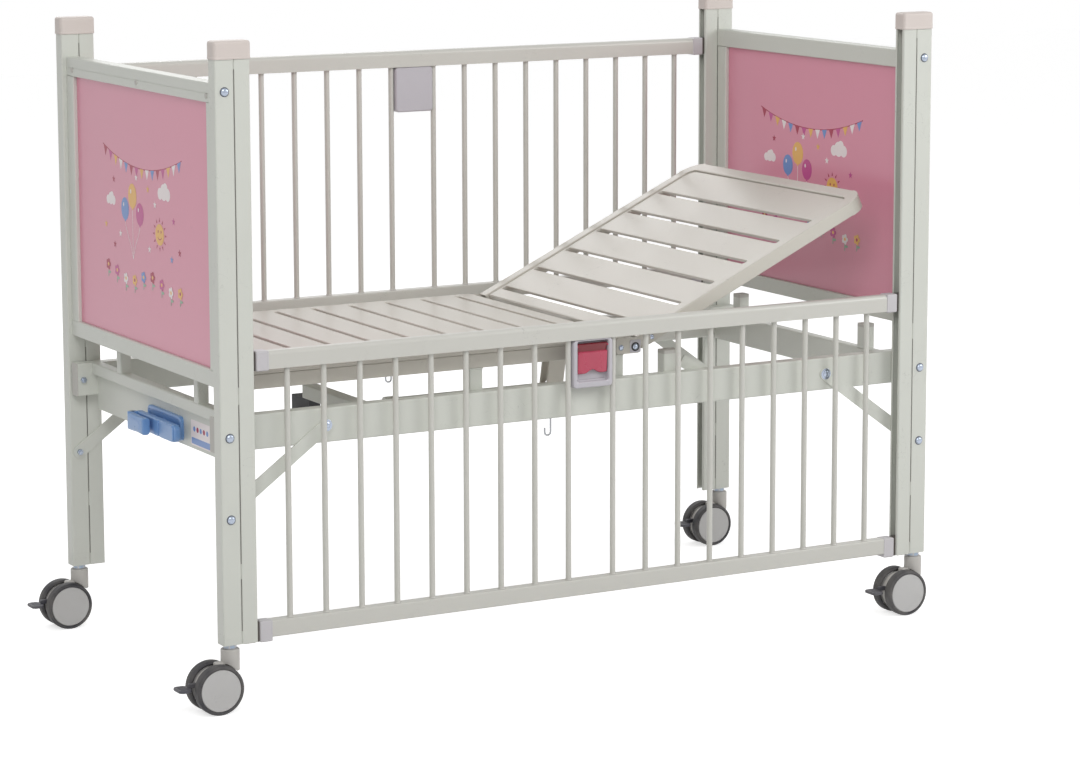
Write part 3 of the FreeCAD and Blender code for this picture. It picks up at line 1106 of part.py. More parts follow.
def bag_hooks():
    """Wire hooks under the long rails."""
    foot = "(rail_low - hook_drop)"
    wire = rod("HookWire", "Z", "hook_wire / 2", "hook_drop", ("-hook_x", "0", foot))
    bend = doc.addObject("Part::Torus", "HookBend")
    bend.setExpression("Radius1", bound("hook_bend"))
    bend.setExpression("Radius2", bound("hook_wire / 2"))
    bend.Angle3 = 180
    bend.Placement = Placement(Vector(), Rotation(Vector(1, 0, 0), -90))
    at(bend, "-hook_x - hook_bend", "0", foot)
    tip = rod("HookTip", "Z", "hook_wire / 2", "hook_tip", ("-hook_x - 2 * hook_bend", "0", foot))
    hook = joined("Hook", [wire, bend, tip])
    middle = f"({POST_IN} - strap_thick - rail_thick / 2)"
    node("bag_hooks", [copied(f"Hook_{side}", [hook], y=f"{across} * {middle}") for side, across in SIDES])


# ---------------------------------------------------------------- casters
# Each is built with its stem's axis at the origin, trailing towards -X.


def casters():
    """Four swivel casters with twin wheels and a brake pedal."""
    socket = ("post_deep - 2 * steel - 4 * spigot_play", "post_wide - 2 * steel - 4 * spigot_play")
    insert = bar("Socket", "Z", *socket, "socket_tall", ("0", "0", "post_low"), "steel")
    collar = rod("Collar", "Z", "collar_radius", "post_low - neck_high - moving_gap",
                 ("0", "0", "neck_high + moving_gap"))
    stem = rod("Stem", "Z", "stem / 2", "post_low - stem_low", ("0", "0", "stem_low"))
    fixed = joined("CasterStem", [insert, collar, stem])

    web_half = "web_thick / 2"
    web = rod("Web", "Y", "web_radius", "web_thick", ("-trail", f"-{web_half}", "wheel_radius"))
    neck = rod("Neck", "Z", "neck_radius", "neck_high - neck_low", ("0", "0", "neck_low"))
    bridge = box("Bridge", ("-trail", f"-{web_half}", "wheel_radius"),
                 ("trail + neck_radius / 2", "web_thick", "neck_low + neck_radius - wheel_radius"))
    cuts = []
    for side, start in (("Left", "-neck_radius - web_thick"), ("Right", web_half)):
        cuts.append(rod(f"WheelClearance{side}", "Y", "wheel_radius + wheel_clear",
                        "neck_radius + web_thick / 2", ("-trail", start, "wheel_radius")))
    cuts.append(rod("StemBore", "Z", "stem / 2 + pin_play", "neck_high", ("0", "0", "stem_low - stem_room")))
    cuts.append(rod("AxleHole", "Y", "axle / 2", "web_thick", ("-trail", f"-{web_half}", "wheel_radius")))
    cuts.append(rod("PedalHole", "Y", "pedal_pin / 2", "web_thick",
                    ("-pedal_pivot", f"-{web_half}", "pedal_height")))
    slot_half = "(pedal_arm / 2 + pedal_slot)"
    slot_front = "(-pedal_pivot + pedal_eye + 2 * pedal_slot)"
    cuts.append(box("PedalSlot", ("-trail - wheel_radius", f"-{slot_half}", "pedal_height - 3 * pedal_eye"),
                    (f"{slot_front} + trail + wheel_radius", f"2 * {slot_half}", "5 * pedal_eye")))
    fork = cut("Fork", joined("ForkJoined", [web, neck, bridge]), cuts)
    outer = "(wheel_inner + wheel_wide)"
    axle = rod("Axle", "Y", "axle / 2", f"2 * {outer} - 2 * hub_recess",
               ("-trail", f"hub_recess - {outer}", "wheel_radius"))
    pedal_pin = rod("PedalPin", "Y", "pedal_pin / 2", "web_thick",
                    ("-pedal_pivot", f"-{web_half}", "pedal_height"))

    wheel_parts = []
    blank = disc("Tyre", "Y", "wheel_radius", "wheel_wide", ("-trail", "wheel_inner", "wheel_radius"),
                 "wheel_round")
    tyre = cut("TyreRing", blank, [rod("TyreBore", "Y", "hub_radius", "wheel_wide",
                                       ("-trail", "wheel_inner", "wheel_radius"))])
    hub = ring("Hub", "Y", "hub_radius", "axle / 2 + pin_play", "wheel_wide - hub_recess",
               ("-trail", "wheel_inner", "wheel_radius"))
    for name, y in (("Right", "0"), ("Left", "-2 * wheel_inner - wheel_wide")):
        wheel_parts.append(copied(f"Wheel{name}", [tyre, hub], y=y))

    eye = rod("PedalEye", "Y", "pedal_eye", "pedal_arm", ("-pedal_pivot", "-pedal_arm / 2", "pedal_height"))
    arm_low = "(pedal_height - pedal_eye)"
    arm = box("PedalArm", ("-pedal_start - pedal_lap", "-pedal_arm / 2", arm_low),
              ("pedal_start + pedal_lap - pedal_pivot", "pedal_arm", "pedal_arm_tall"))
    tread = box("PedalTread", ("-pedal_end", "-pedal_wide / 2", "pedal_low"),
                ("pedal_end - pedal_start", "pedal_wide", "pedal_thick"))
    pedal_bore = rod("PedalBore", "Y", "pedal_pin / 2 + pin_play", "pedal_arm",
                     ("-pedal_pivot", "-pedal_arm / 2", "pedal_height"))
    pedal = cut("Pedal", joined("PedalJoined", [eye, arm, tread]), [pedal_bore])

    stems = []
    for end, side, along, across in corners():
        x, y = f"{along} * {POST_X}", f"{across} * {POST_Y}"
        stems.append(copied(f"Stem_{end}_{side}", [fixed], x, y))
        node(f"caster_body_{end}_{side}", [fork, axle, pedal_pin], x, y)
        node(f"caster_wheels_{end}_{side}", wheel_parts, x, y)
        node(f"brake_pedal_{end}_{side}", [pedal], x, y)
    node("caster_stems", stems)


def check(piece):
    """Stop if an object failed or has no valid shape."""
    shape = piece.Shape
    failed = {"Invalid", "Error"} & set(piece.State)
    if failed or shape.isNull() or not shape.isValid() or not shape.Solids:
        raise RuntimeError(f"{piece.Label} failed: {piece.State}")


def main():
    fill_sheet()
    posts()
    rail_guides()
    post_caps()
    long_rails()
    end_panels()
    cross_members()
    corner_braces()
    frame_bolts()
    fixed_deck()
    hinge_plates()
    back_section()
    crank_drive()
    side_rails()
    bag_hooks()
    casters()
    doc.recompute()
    whole = FreeCAD.BoundBox()
    for piece in NODES:
        whole.add(piece.Shape.BoundBox)
    sheet.set(sheet.getCellFromAlias("origin_shift"), str(round(-whole.Center.x, 3)))
    doc.recompute()
    for piece in doc.Objects:
        if {"Invalid", "Error"} & set(piece.State):
            raise RuntimeError(f"{piece.Name} failed: {piece.State}")
    os.makedirs("parts", exist_ok=True)
    for piece in NODES:
        check(piece)
        piece.Shape.exportStep(f"parts/{piece.Label}.step")


if __name__ == "__main__":
    main()
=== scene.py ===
"""Dresses the frame of a child's hospital cot with its finished pieces.

Lengths are metres. +X runs towards the head, +Z is up, and the left-hand side rail is at -Y.
"""
import json
import math

import bmesh
import bpy
from bpy.props import FloatProperty, FloatVectorProperty, IntProperty, PointerProperty
from mathutils import Matrix, Vector


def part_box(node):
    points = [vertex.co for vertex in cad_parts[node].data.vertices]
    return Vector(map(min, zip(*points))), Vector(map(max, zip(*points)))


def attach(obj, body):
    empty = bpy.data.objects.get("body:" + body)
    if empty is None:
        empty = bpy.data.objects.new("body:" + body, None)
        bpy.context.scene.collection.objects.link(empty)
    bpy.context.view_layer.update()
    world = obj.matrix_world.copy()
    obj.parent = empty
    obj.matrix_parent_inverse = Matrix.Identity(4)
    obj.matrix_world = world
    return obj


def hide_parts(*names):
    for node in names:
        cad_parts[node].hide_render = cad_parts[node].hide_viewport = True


bl_info = {
    "name": "Hospital cot dressing",
    "version": (1, 0, 0),
    "blender": (4, 5, 0),
    "location": "3D View > Sidebar > Cot",
    "description": "Adds the finished pieces and materials of a child's hospital cot to its frame",
    "category": "Object",
}

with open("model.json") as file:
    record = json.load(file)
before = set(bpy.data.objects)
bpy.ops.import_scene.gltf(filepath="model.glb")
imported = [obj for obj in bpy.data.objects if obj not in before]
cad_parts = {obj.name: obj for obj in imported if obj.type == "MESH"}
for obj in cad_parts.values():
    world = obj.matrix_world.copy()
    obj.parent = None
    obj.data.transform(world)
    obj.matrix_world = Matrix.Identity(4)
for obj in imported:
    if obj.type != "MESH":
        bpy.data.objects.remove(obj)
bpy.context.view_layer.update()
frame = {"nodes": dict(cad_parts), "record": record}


def box(node):
    """The lowest and highest corner of a part of the frame."""
    low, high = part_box(node)
    return Vector(low), Vector(high)


def middle_and_half(node):
    """The middle of a part of the frame, and half of its size."""
    low, high = box(node)
    return (low + high) / 2, (high - low) / 2


# posts: their middles along the cot, and their middle, outer and inner faces across it
POST_XS = tuple(middle_and_half(f"post_{end}_left")[0].x for end in ("foot", "head"))
POST_LOW, POST_HIGH = box("post_foot_right")
SIDE_Y = (POST_LOW.y + POST_HIGH.y) / 2
INNER_Y, OUTER_Y = POST_LOW.y, POST_HIGH.y
# long rails: middle height, inner face, and the face that the braces lie on
RAIL_Z = middle_and_half("long_rail_right")[0].z
RAIL_INNER_Y, RAIL_OUTER_Y = (corner.y for corner in box("long_rail_right"))
# bolts of the braces and of the end panels
BRACE_BOLT_Z, BRACE_REACH, PANEL_BOLT_Z = 0.385, 0.224, 1.222
# sides of the cot, the middle of both side rails along it, and from there to their first bar
SIDES = (("left", -1), ("right", 1))
RAIL_MIDDLE = middle_and_half("left_rail_tubes")[0].x
FIRST_BAR = 0.053
# stems of the casters, and how far their axles lie behind them
CORNERS = tuple((f"{end}_{side}", x, way * SIDE_Y)
                for end, x in zip(("foot", "head"), POST_XS) for side, way in SIDES)
STEM_FOOT, WHEEL_RADIUS, TRAIL = 0.1261, 0.050, 0.034
# hinge of the raised section: from the plates' foot end and lower edge, and the stored angle
HINGE_PLATE_LOW = box("hinge_plates")[0]
HINGE = Vector((HINGE_PLATE_LOW.x + 0.046, 0.0, HINGE_PLATE_LOW.z + 0.014))
STORED_ANGLE = math.radians(25)
# a skin stays this far inside what it covers, and no corner is rounded by less than the least one
SKIN, LEAST_CORNER = 0.0002, 1e-4
WHITE = (1.0, 1.0, 1.0, 1.0)
REPAINTED = {"back_brackets": "platform_paint", "bag_hooks": "screw_steel"}


def shade(code):
    """A hex colour as the linear values that a shader takes."""
    channels = (code >> 16 & 255, code >> 8 & 255, code & 255)
    return tuple(((value / 255 + 0.055) / 1.055) ** 2.4 for value in channels)


def length(title, about, value):
    """A size that the user can change."""
    return FloatProperty(name=title, description=about, default=value, min=0.0, unit="LENGTH")


def colour(title, about, code):
    """A colour that the user can change."""
    return FloatVectorProperty(name=title, description=about, subtype="COLOR", size=3, min=0.0, max=1.0,
                               default=shade(code))


def amount(title, about, value, unit="NONE"):
    """A strength that the user can change."""
    return FloatProperty(name=title, description=about, default=value, min=0.0, unit=unit)


class CotSizes(bpy.types.PropertyGroup):
    """Sizes of the finished pieces."""

    cap_round: length("Cap rounding", "Rounding of the post caps' upper edges", 0.006)
    bolt_head: length("Bolt head", "Diameter of the frame bolts' heads", 0.0165)
    bolt_dome: length("Bolt dome", "Height of the frame bolts' heads", 0.005)
    seam: length("Seam", "Width of the seams between posts and guides", 0.0011)
    bar_thick: length("Bar", "Diameter of the side rails' bars", 0.012)
    bar_pitch: length("Bar pitch", "Distance between side rail bars", 0.0795)
    bar_count: IntProperty(name="Bars", description="Bars each side of a rail's middle", default=9, min=1)
    sheet_roll: length("Lip rounding", "Radius where the platform sheet turns down", 0.0028)
    sheet_thick: length("Sheet", "Thickness of the platform sheet", 0.0015)
    slat_count: IntProperty(name="Deck gaps", description="Gaps in the fixed platform", default=10, min=1)
    back_count: IntProperty(name="Back gaps", description="Gaps in the back section", default=6, min=1)
    block_round: length("End block rounding", "Rounding of the side rails' end blocks", 0.003)
    print_lift: length("Print lift", "Print standing proud of the end panels", 0.00012)
    weld: length("Weld", "Width of the weld beads", 0.003)


class CotColours(bpy.types.PropertyGroup):
    """Colours of the finishes."""

    frame_paint: colour("Frame paint", "Powder coat of posts, rails and panel frames", 0xD2D4CC)
    rail_paint: colour("Side rail paint", "Powder coat of the side rails", 0xCCCBC4)
    platform_paint: colour("Platform paint", "Powder coat of the platform", 0xCAC6BC)
    zinc: colour("Zinc", "Bolts and hinge plates", 0xA6AFBE)
    screw_steel: colour("Steel", "Screw, stems and latch bolts", 0xA9ABAF)
    cap_plastic: colour("Caps", "Post caps", 0xD6CCC6)
    block_plastic: colour("End blocks", "Side rail end blocks", 0xC8C5C8)
    # painted shade: the sliders and the strips along the guides' seams take this dark brown for the shade in
    # the guide slots and gaps
    slider: colour("Sliders", "Sliders in the rail guides", 0x57504D)
    panel_pink: colour("End panels", "Laminate of the end panels", 0xDE90A6)
    latch_red: colour("Latch handle", "Latch handle", 0xB23652)
    # painted shade: the handle's upper band takes this darker red in place of the shade in its recess
    latch_deep: colour("Latch recess", "Upper band of the latch handle", 0x74101F)
    latch_grey: colour("Latch housing", "Latch housing", 0xC0BDC3)
    crank_blue: colour("Crank", "Crank, grip and bezel", 0x6E97CC)
    collar_blue: colour("Collars", "Collars over the casters", 0x58A2DA)
    tyre_grey: colour("Treads", "Caster treads", 0x24242B)
    disc_grey: colour("Wheel discs", "Faces of the casters", 0xC0BFBE)
    caster_grey: colour("Caster hood", "Hood and pedal of the casters", 0x40404A)
    neck_grey: colour("Caster neck", "Neck of the casters", 0xC0BDB8)
    plug_dark: colour("Plugs", "Plugs and buffers", 0xC2C0BA)
    # partly painted shadow: the washers under the bolts are this dark to stand in for the shadow ring round
    # the heads as well
    rim_dark: colour("Bolt rims", "Washers under the frame bolts", 0x5B5E66)
    bearing_dark: colour("Bearing", "Screw bearing", 0x2C2C31)
    ink_white: colour("White ink", "White of the end panels' print", 0xF0E6E6)
    ink_sky: colour("Blue ink", "Blue of the end panels' print", 0x6C8FCB)
    ink_sun: colour("Yellow ink", "Yellow of the end panels' print", 0xE9B45C)
    ink_plum: colour("Plum ink", "Plum of the end panels' print", 0xC2478C)
    ink_crimson: colour("Red ink", "Red of the end panels' print", 0xA81C44)
    ink_leaf: colour("Green ink", "Green of the end panels' print", 0x8FB59A)


class CotStage(bpy.types.PropertyGroup):
    """Camera, lamps and floor."""

    lens: FloatProperty(name="Lens", description="Focal length in millimetres", default=112.37, min=10.0)
    floor: colour("Floor", "Floor and backdrop", 0xE4E4E4)
    key: amount("Key lamp", "Power of the large lamp", 118.0, "POWER")
    fill: amount("Fill lamp", "Power of the side lamp", 80.0, "POWER")
    glow: amount("Floor glow", "White that the eye sees on the floor", 0.66)
    sky: amount("Room light", "Strength of the light all round", 0.40)


# ---------------------------------------------------------------- finishes


def add(tree, kind, settings=None, **inputs):
    """Add a node, and set or link its inputs by name or by an underscore and their number."""
    node = tree.nodes.new(kind)
    for key, value in (settings or {}).items():
        setattr(node, key, value)
    for key, value in inputs.items():
        socket = node.inputs[int(key[1:]) if key[0] == "_" else key.replace("_", " ")]
        if isinstance(value, bpy.types.NodeSocket):
            tree.links.new(value, socket)
        else:
            socket.default_value = value
    return node


def sums(tree, operation, first, second):
    """The result of a Math node."""
    return add(tree, "ShaderNodeMath", {"operation": operation}, _0=first, _1=second).outputs[0]


def spread(tree, value, low, high, to_low, to_high):
    """A value moved from one range to another."""
    return add(tree, "ShaderNodeMapRange", Value=value, From_Min=low, From_Max=high, To_Min=to_low,
               To_Max=to_high).outputs[0]


def blended(tree, factor, first, second):
    """Two colours mixed."""
    node = add(tree, "ShaderNodeMix", {"data_type": "RGBA"}, _0=factor, _6=first, _7=second)
    return node.outputs[2]


def new_group(name, kind, inputs, outputs):
    """A node group with its sockets, its input node and its output node."""
    tree = bpy.data.node_groups.new(name, kind)
    for title, socket, value in inputs:
        made = tree.interface.new_socket(name=title, in_out="INPUT", socket_type=socket)
        if value is not None:
            made.default_value = value
    for title, socket in outputs:
        tree.interface.new_socket(name=title, in_out="OUTPUT", socket_type=socket)
    return tree, tree.nodes.new("NodeGroupInput"), tree.nodes.new("NodeGroupOutput")


def surface_group():
    """Grain, clouding, fine scuffs and floor dust, which every finish of the cot shares."""
    name = "Cot Surface"
    if name in bpy.data.node_groups:
        return bpy.data.node_groups[name]
    value = "NodeSocketFloat"
    tree, given, made = new_group(name, "ShaderNodeTree", (
        ("Color", "NodeSocketColor", (0.8, 0.8, 0.8, 1.0)), ("Roughness", value, 0.4), ("Spread", value, 0.1),
        ("Grain Scale", value, 500.0), ("Cloud Scale", value, 6.0), ("Tint", value, 0.05),
        ("Scuffs", value, 0.2), ("Dust", value, 0.2),
    ), (("Color", "NodeSocketColor"), ("Roughness", value), ("Height", value)))
    take = given.outputs
    place = add(tree, "ShaderNodeTexCoord").outputs["Object"]

    def noise(scale, detail, distortion=0.0):
        return add(tree, "ShaderNodeTexNoise", Vector=place, Scale=scale, Detail=detail,
                   Distortion=distortion).outputs[0]

    cloud = noise(take["Cloud Scale"], 5.0)
    grain = noise(take["Grain Scale"], 2.0)
    # scuffs are thin lines of one noise, kept where a slower noise is high
    thread = sums(tree, "ABSOLUTE", sums(tree, "SUBTRACT", noise(23.0, 3.0, 1.6), 0.5), 0.0)
    line = spread(tree, thread, 0.0, 0.006, 1.0, 0.0)
    scuff = sums(tree, "MULTIPLY", line, spread(tree, noise(9.0, 1.0), 0.55, 0.68, 0.0, 1.0))
    scuff = sums(tree, "MULTIPLY", scuff, take["Scuffs"])
    # dust lies on what is near the floor
    height = add(tree, "ShaderNodeSeparateXYZ", Vector=place).outputs["Z"]
    low = spread(tree, height, 0.01, 0.32, 1.0, 0.0)
    patchy = sums(tree, "MULTIPLY", low, spread(tree, cloud, 0.35, 0.75, 0.1, 1.0))
    dust = sums(tree, "MULTIPLY", patchy, take["Dust"])
    off = sums(tree, "SUBTRACT", cloud, 0.5)
    lift = sums(tree, "ADD", sums(tree, "MULTIPLY", off, take["Tint"]), 1.0)
    tinted = add(tree, "ShaderNodeHueSaturation", Value=lift, Color=take["Color"]).outputs[0]
    dusty = blended(tree, dust, tinted, (0.36, 0.34, 0.31, 1.0))
    worn = blended(tree, scuff, dusty, (0.21, 0.20, 0.19, 1.0))
    rough = sums(tree, "ADD", take["Roughness"], sums(tree, "MULTIPLY", off, take["Spread"]))
    rough = sums(tree, "ADD", rough, sums(tree, "MULTIPLY", sums(tree, "ADD", dust, scuff), 0.3))
    relief = sums(tree, "SUBTRACT", grain, scuff)
    for title, result in (("Color", worn), ("Roughness", rough), ("Height", relief)):
        tree.links.new(result, made.inputs[title])
    return tree


# metallic, roughness, spread, grain scale, cloud scale, tint, scuffs, dust, bump strength, coat
FINISHES = {
    "frame_paint": (0.0, 0.42, 0.16, 620.0, 5.0, 0.07, 0.30, 0.28, 0.16, 0.18),
    "rail_paint": (0.0, 0.38, 0.16, 620.0, 6.0, 0.06, 0.25, 0.20, 0.14, 0.2),
    "platform_paint": (0.0, 0.44, 0.18, 560.0, 5.0, 0.08, 0.35, 0.10, 0.18, 0.15),
    "zinc": (1.0, 0.27, 0.30, 900.0, 45.0, 0.24, 0.25, 0.25, 0.10, 0.0),
    "rim_dark": (0.7, 0.45, 0.20, 900.0, 45.0, 0.20, 0.25, 0.25, 0.10, 0.0),
    "screw_steel": (1.0, 0.34, 0.22, 700.0, 30.0, 0.16, 0.30, 0.35, 0.12, 0.0),
    "cap_plastic": (0.0, 0.46, 0.14, 1100.0, 14.0, 0.05, 0.12, 0.0, 0.22, 0.0),
    "block_plastic": (0.0, 0.44, 0.14, 1100.0, 18.0, 0.06, 0.15, 0.15, 0.22, 0.0),
    "slider": (0.0, 0.55, 0.20, 800.0, 22.0, 0.18, 0.40, 0.30, 0.20, 0.0),
    "panel_pink": (0.0, 0.33, 0.10, 240.0, 2.6, 0.05, 0.10, 0.0, 0.05, 0.3),
    "latch_red": (0.0, 0.27, 0.10, 700.0, 24.0, 0.08, 0.18, 0.0, 0.07, 0.35),
    "latch_deep": (0.0, 0.32, 0.10, 700.0, 24.0, 0.08, 0.18, 0.0, 0.07, 0.25),
    "latch_grey": (0.0, 0.40, 0.12, 900.0, 20.0, 0.05, 0.12, 0.0, 0.15, 0.1),
    "crank_blue": (0.0, 0.30, 0.12, 800.0, 20.0, 0.07, 0.20, 0.0, 0.10, 0.3),
    "collar_blue": (0.0, 0.38, 0.12, 800.0, 30.0, 0.06, 0.10, 0.30, 0.12, 0.0),
    "tyre_grey": (0.0, 0.62, 0.18, 900.0, 26.0, 0.20, 0.50, 0.42, 0.30, 0.0),
    "disc_grey": (0.0, 0.40, 0.14, 1000.0, 18.0, 0.06, 0.30, 0.22, 0.14, 0.1),
    "caster_grey": (0.0, 0.46, 0.16, 1000.0, 24.0, 0.12, 0.25, 0.30, 0.20, 0.0),
    "neck_grey": (0.0, 0.42, 0.16, 900.0, 20.0, 0.07, 0.20, 0.20, 0.16, 0.1),
    "plug_dark": (0.0, 0.60, 0.16, 900.0, 30.0, 0.12, 0.15, 0.10, 0.25, 0.0),
    "bearing_dark": (0.0, 0.52, 0.18, 900.0, 30.0, 0.14, 0.20, 0.10, 0.25, 0.0),
}
for ink, ink_tint in (("white", 0.04), ("sky", 0.12), ("sun", 0.10), ("plum", 0.12), ("crimson", 0.10),
                      ("leaf", 0.12)):
    FINISHES["ink_" + ink] = (0.0, 0.36, 0.08, 400.0, 16.0, ink_tint, 0.08, 0.0, 0.05, 0.2)


def finish(name):
    """A finish of the cot, made the first time that it is asked for."""
    title = "Cot " + name
    if title in bpy.data.materials:
        return bpy.data.materials[title]
    metal, rough, spread_by, grain, cloud, tint, scuffs, dust, bump, coat = FINISHES[name]
    material = bpy.data.materials.new(title)
    material.use_nodes = True
    tree = material.node_tree
    shader = tree.nodes["Principled BSDF"]
    surface = add(tree, "ShaderNodeGroup", {"node_tree": surface_group()})
    paint = tuple(getattr(bpy.context.scene.cot_colours, name))
    values = (("Color", (*paint, 1.0)), ("Roughness", rough), ("Spread", spread_by), ("Grain Scale", grain),
              ("Cloud Scale", cloud), ("Tint", tint), ("Scuffs", scuffs), ("Dust", dust))
    for socket, value in values:
        surface.inputs[socket].default_value = value
    relief = add(tree, "ShaderNodeBump", Height=surface.outputs["Height"], Strength=bump, Distance=0.0006)
    tree.links.new(surface.outputs["Color"], shader.inputs["Base Color"])
    tree.links.new(surface.outputs["Roughness"], shader.inputs["Roughness"])
    tree.links.new(relief.outputs[0], shader.inputs["Normal"])
    shader.inputs["Metallic"].default_value = metal
    shader.inputs["Coat Weight"].default_value = coat
    shader.inputs["Coat Roughness"].default_value = 0.22
    material.diffuse_color = (*paint, 1.0)
    return material


# ---------------------------------------------------------------- shapes


def facing(place, across, out):
    """Lays a piece that is drawn with u across, v up and w outwards on a face of the cot."""
    matrix = Matrix((Vector(across), Vector((0, 0, 1)), Vector(out))).transposed().to_4x4()
    matrix.translation = Vector(place)
    return matrix


def outwards(x, y, z, side):
    """Lays a piece on the outer side of the left (-1) or right (1) of the cot."""
    return facing((x, y, z), (-side, 0, 0), (0, side, 0))


def rounded(half_u, half_v, radius, steps=5, at=(0.0, 0.0)):
    """Points round a rectangle with rounded corners."""
    points = []
    for quarter, (to_u, to_v) in enumerate(((1, 1), (-1, 1), (-1, -1), (1, -1))):
        for step in range(steps + 1):
            angle = (quarter + step / steps) * math.pi / 2
            points.append((at[0] + to_u * (half_u - radius) + radius * math.cos(angle),
                           at[1] + to_v * (half_v - radius) + radius * math.sin(angle)))
    return points


def level(points, w):
    """Points of a flat outline at a height."""
    return [(u, v, w) for u, v in points]


def stacked(rows, at=(0.0, 0.0), ends=True):
    """A skin over rounded rectangles, each given by its halves, its corner and its height."""
    loops = [level(rounded(half_u, half_v, corner, at=at), w) for half_u, half_v, corner, w in rows]
    return lofted(loops, ends)


def lofted(loops, ends=True):
    """A skin over closed loops that have as many points each, with end faces or closed to a ring."""
    part = bmesh.new()
    rows = [[part.verts.new(point) for point in loop] for loop in loops]
    for near, far in zip(rows, rows[1:] if ends else rows[1:] + rows[:1]):
        for number in range(len(near)):
            after = (number + 1) % len(near)
            part.faces.new((near[number], near[after], far[after], far[number]))
    if ends:
        part.faces.new(rows[0][::-1])
        part.faces.new(rows[-1])
    bmesh.ops.recalc_face_normals(part, faces=part.faces)
    return part


def plate(half_u, half_v, corner, thick, edge, at=(0.0, 0.0), start=0.0, steps=3, both=True):
    """A flat plate with rounded corners, lying on w = start, with its upper or both edges softened."""
    def row(inset, w):
        return half_u - inset, half_v - inset, max(corner - inset, LEAST_CORNER), start + w

    angles = [step / steps * math.pi / 2 for step in range(steps + 1)]
    lower = [row(edge * (1 - math.sin(a)), edge * (1 - math.cos(a))) for a in angles]
    upper = [row(edge * (1 - math.cos(a)), thick - edge * (1 - math.sin(a))) for a in angles]
    if not both:
        lower = [row(0.0, 0.0)]
    return stacked(lower + upper, at)


def block(low, high, radius, steps=3):
    """A block between two corners with all its edges rounded."""
    part = bmesh.new()
    bmesh.ops.create_cube(part, size=1.0)
    low, high = Vector(low), Vector(high)
    place = Matrix.Translation((low + high) / 2) @ Matrix.Diagonal((*(high - low), 1.0))
    bmesh.ops.transform(part, matrix=place, verts=part.verts)
    bmesh.ops.bevel(part, geom=part.edges[:], offset=radius, segments=steps, profile=0.5, affect="EDGES")
    return part


def turned(profile, steps=40, closed=False):
    """A profile of radius and height turned about Z, whose ends are on the axis or closed to a ring."""
    part = bmesh.new()
    angles = [number / steps * 2 * math.pi for number in range(steps)]
    rings = []
    for radius, height in profile:
        around = [(radius * math.cos(a), radius * math.sin(a), height) for a in angles]
        rings.append([part.verts.new(point) for point in (around if radius > 0 else [(0.0, 0.0, height)])])
    for near, far in zip(rings, rings[1:] + rings[:1] if closed else rings[1:]):
        for number in range(steps):
            after = number + 1
            corners = (near[number % len(near)], near[after % len(near)],
                       far[after % len(far)], far[number % len(far)])
            part.faces.new(list(dict.fromkeys(corners)))
    bmesh.ops.recalc_face_normals(part, faces=part.faces)
    return part


def rod(radius, long, edge=0.0, start=0.0):
    """Profile of a rod along Z with chamfered ends."""
    end = start + long
    points = [(0.0, start), (radius - edge, start), (radius, start + edge),
              (radius, end - edge), (radius - edge, end), (0.0, end)]
    return list(dict.fromkeys(points))


def arc(middle_r, middle_h, radius, start, end, steps=4):
    """Profile points round part of a circle, in degrees from outwards towards up."""
    angles = [math.radians(start + (end - start) * step / steps) for step in range(steps + 1)]
    return [(middle_r + radius * math.cos(a), middle_h + radius * math.sin(a)) for a in angles]


def put(whole, part, place=None, slot=0):
    """Add a shape to a piece, moved to its place and with the number of its finish."""
    if place is not None:
        bmesh.ops.transform(part, matrix=place, verts=part.verts)
    for face in part.faces:
        face.material_index = slot
        face.smooth = True
    held = bpy.data.meshes.new("held")
    part.to_mesh(held)
    part.free()
    whole.from_mesh(held)
    bpy.data.meshes.remove(held)


def piece(name, whole, finishes, body, nodes=(), angle=38.0):
    """Make an object of a shape, give it its finishes and set it on its body."""
    mesh = bpy.data.meshes.new(name)
    whole.to_mesh(mesh)
    whole.free()
    return dressed(name, mesh, finishes, body, nodes, angle)


def dressed(name, mesh, finishes, body, nodes=(), angle=38.0):
    """Make an object of a mesh, give it its finishes if it has none, and set it on its body."""
    if not mesh.materials:
        for title in finishes:
            mesh.materials.append(finish(title))
    mesh.set_sharp_from_angle(angle=math.radians(angle))
    made = bpy.data.objects.new(name, mesh)
    bpy.context.scene.collection.objects.link(made)
    made.modifiers.new("Flat faces", "WEIGHTED_NORMAL").keep_sharp = True
    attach(made, body)
    if nodes:
        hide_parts(*nodes)
    return made


# ---------------------------------------------------------------- repeats


def pattern(tree, given):
    """The geometry of the shape that a tree repeats."""
    return add(tree, "GeometryNodeObjectInfo", {"transform_space": "ORIGINAL"},
               Object=given.outputs["Shape"]).outputs["Geometry"]


def repeat_tree():
    """Nodes that set a shape on every point of a mesh, turned by the point's own angles."""
    name = "Cot Repeat"
    if name in bpy.data.node_groups:
        return bpy.data.node_groups[name]
    tree, given, made = new_group(name, "GeometryNodeTree", (
        ("Places", "NodeSocketGeometry", None), ("Shape", "NodeSocketObject", None),
        ("Size", "NodeSocketFloat", 1.0), ("Finish", "NodeSocketMaterial", None),
    ), (("Pieces", "NodeSocketGeometry"),))
    turn = add(tree, "GeometryNodeInputNamedAttribute", {"data_type": "FLOAT_VECTOR"}, Name="turn")
    angles = add(tree, "FunctionNodeEulerToRotation", _0=turn.outputs["Attribute"])
    spots = add(tree, "GeometryNodeInstanceOnPoints", Points=given.outputs["Places"],
                Rotation=angles.outputs[0], Instance=pattern(tree, given), Scale=given.outputs["Size"])
    ended(tree, spots, given, made)
    return tree


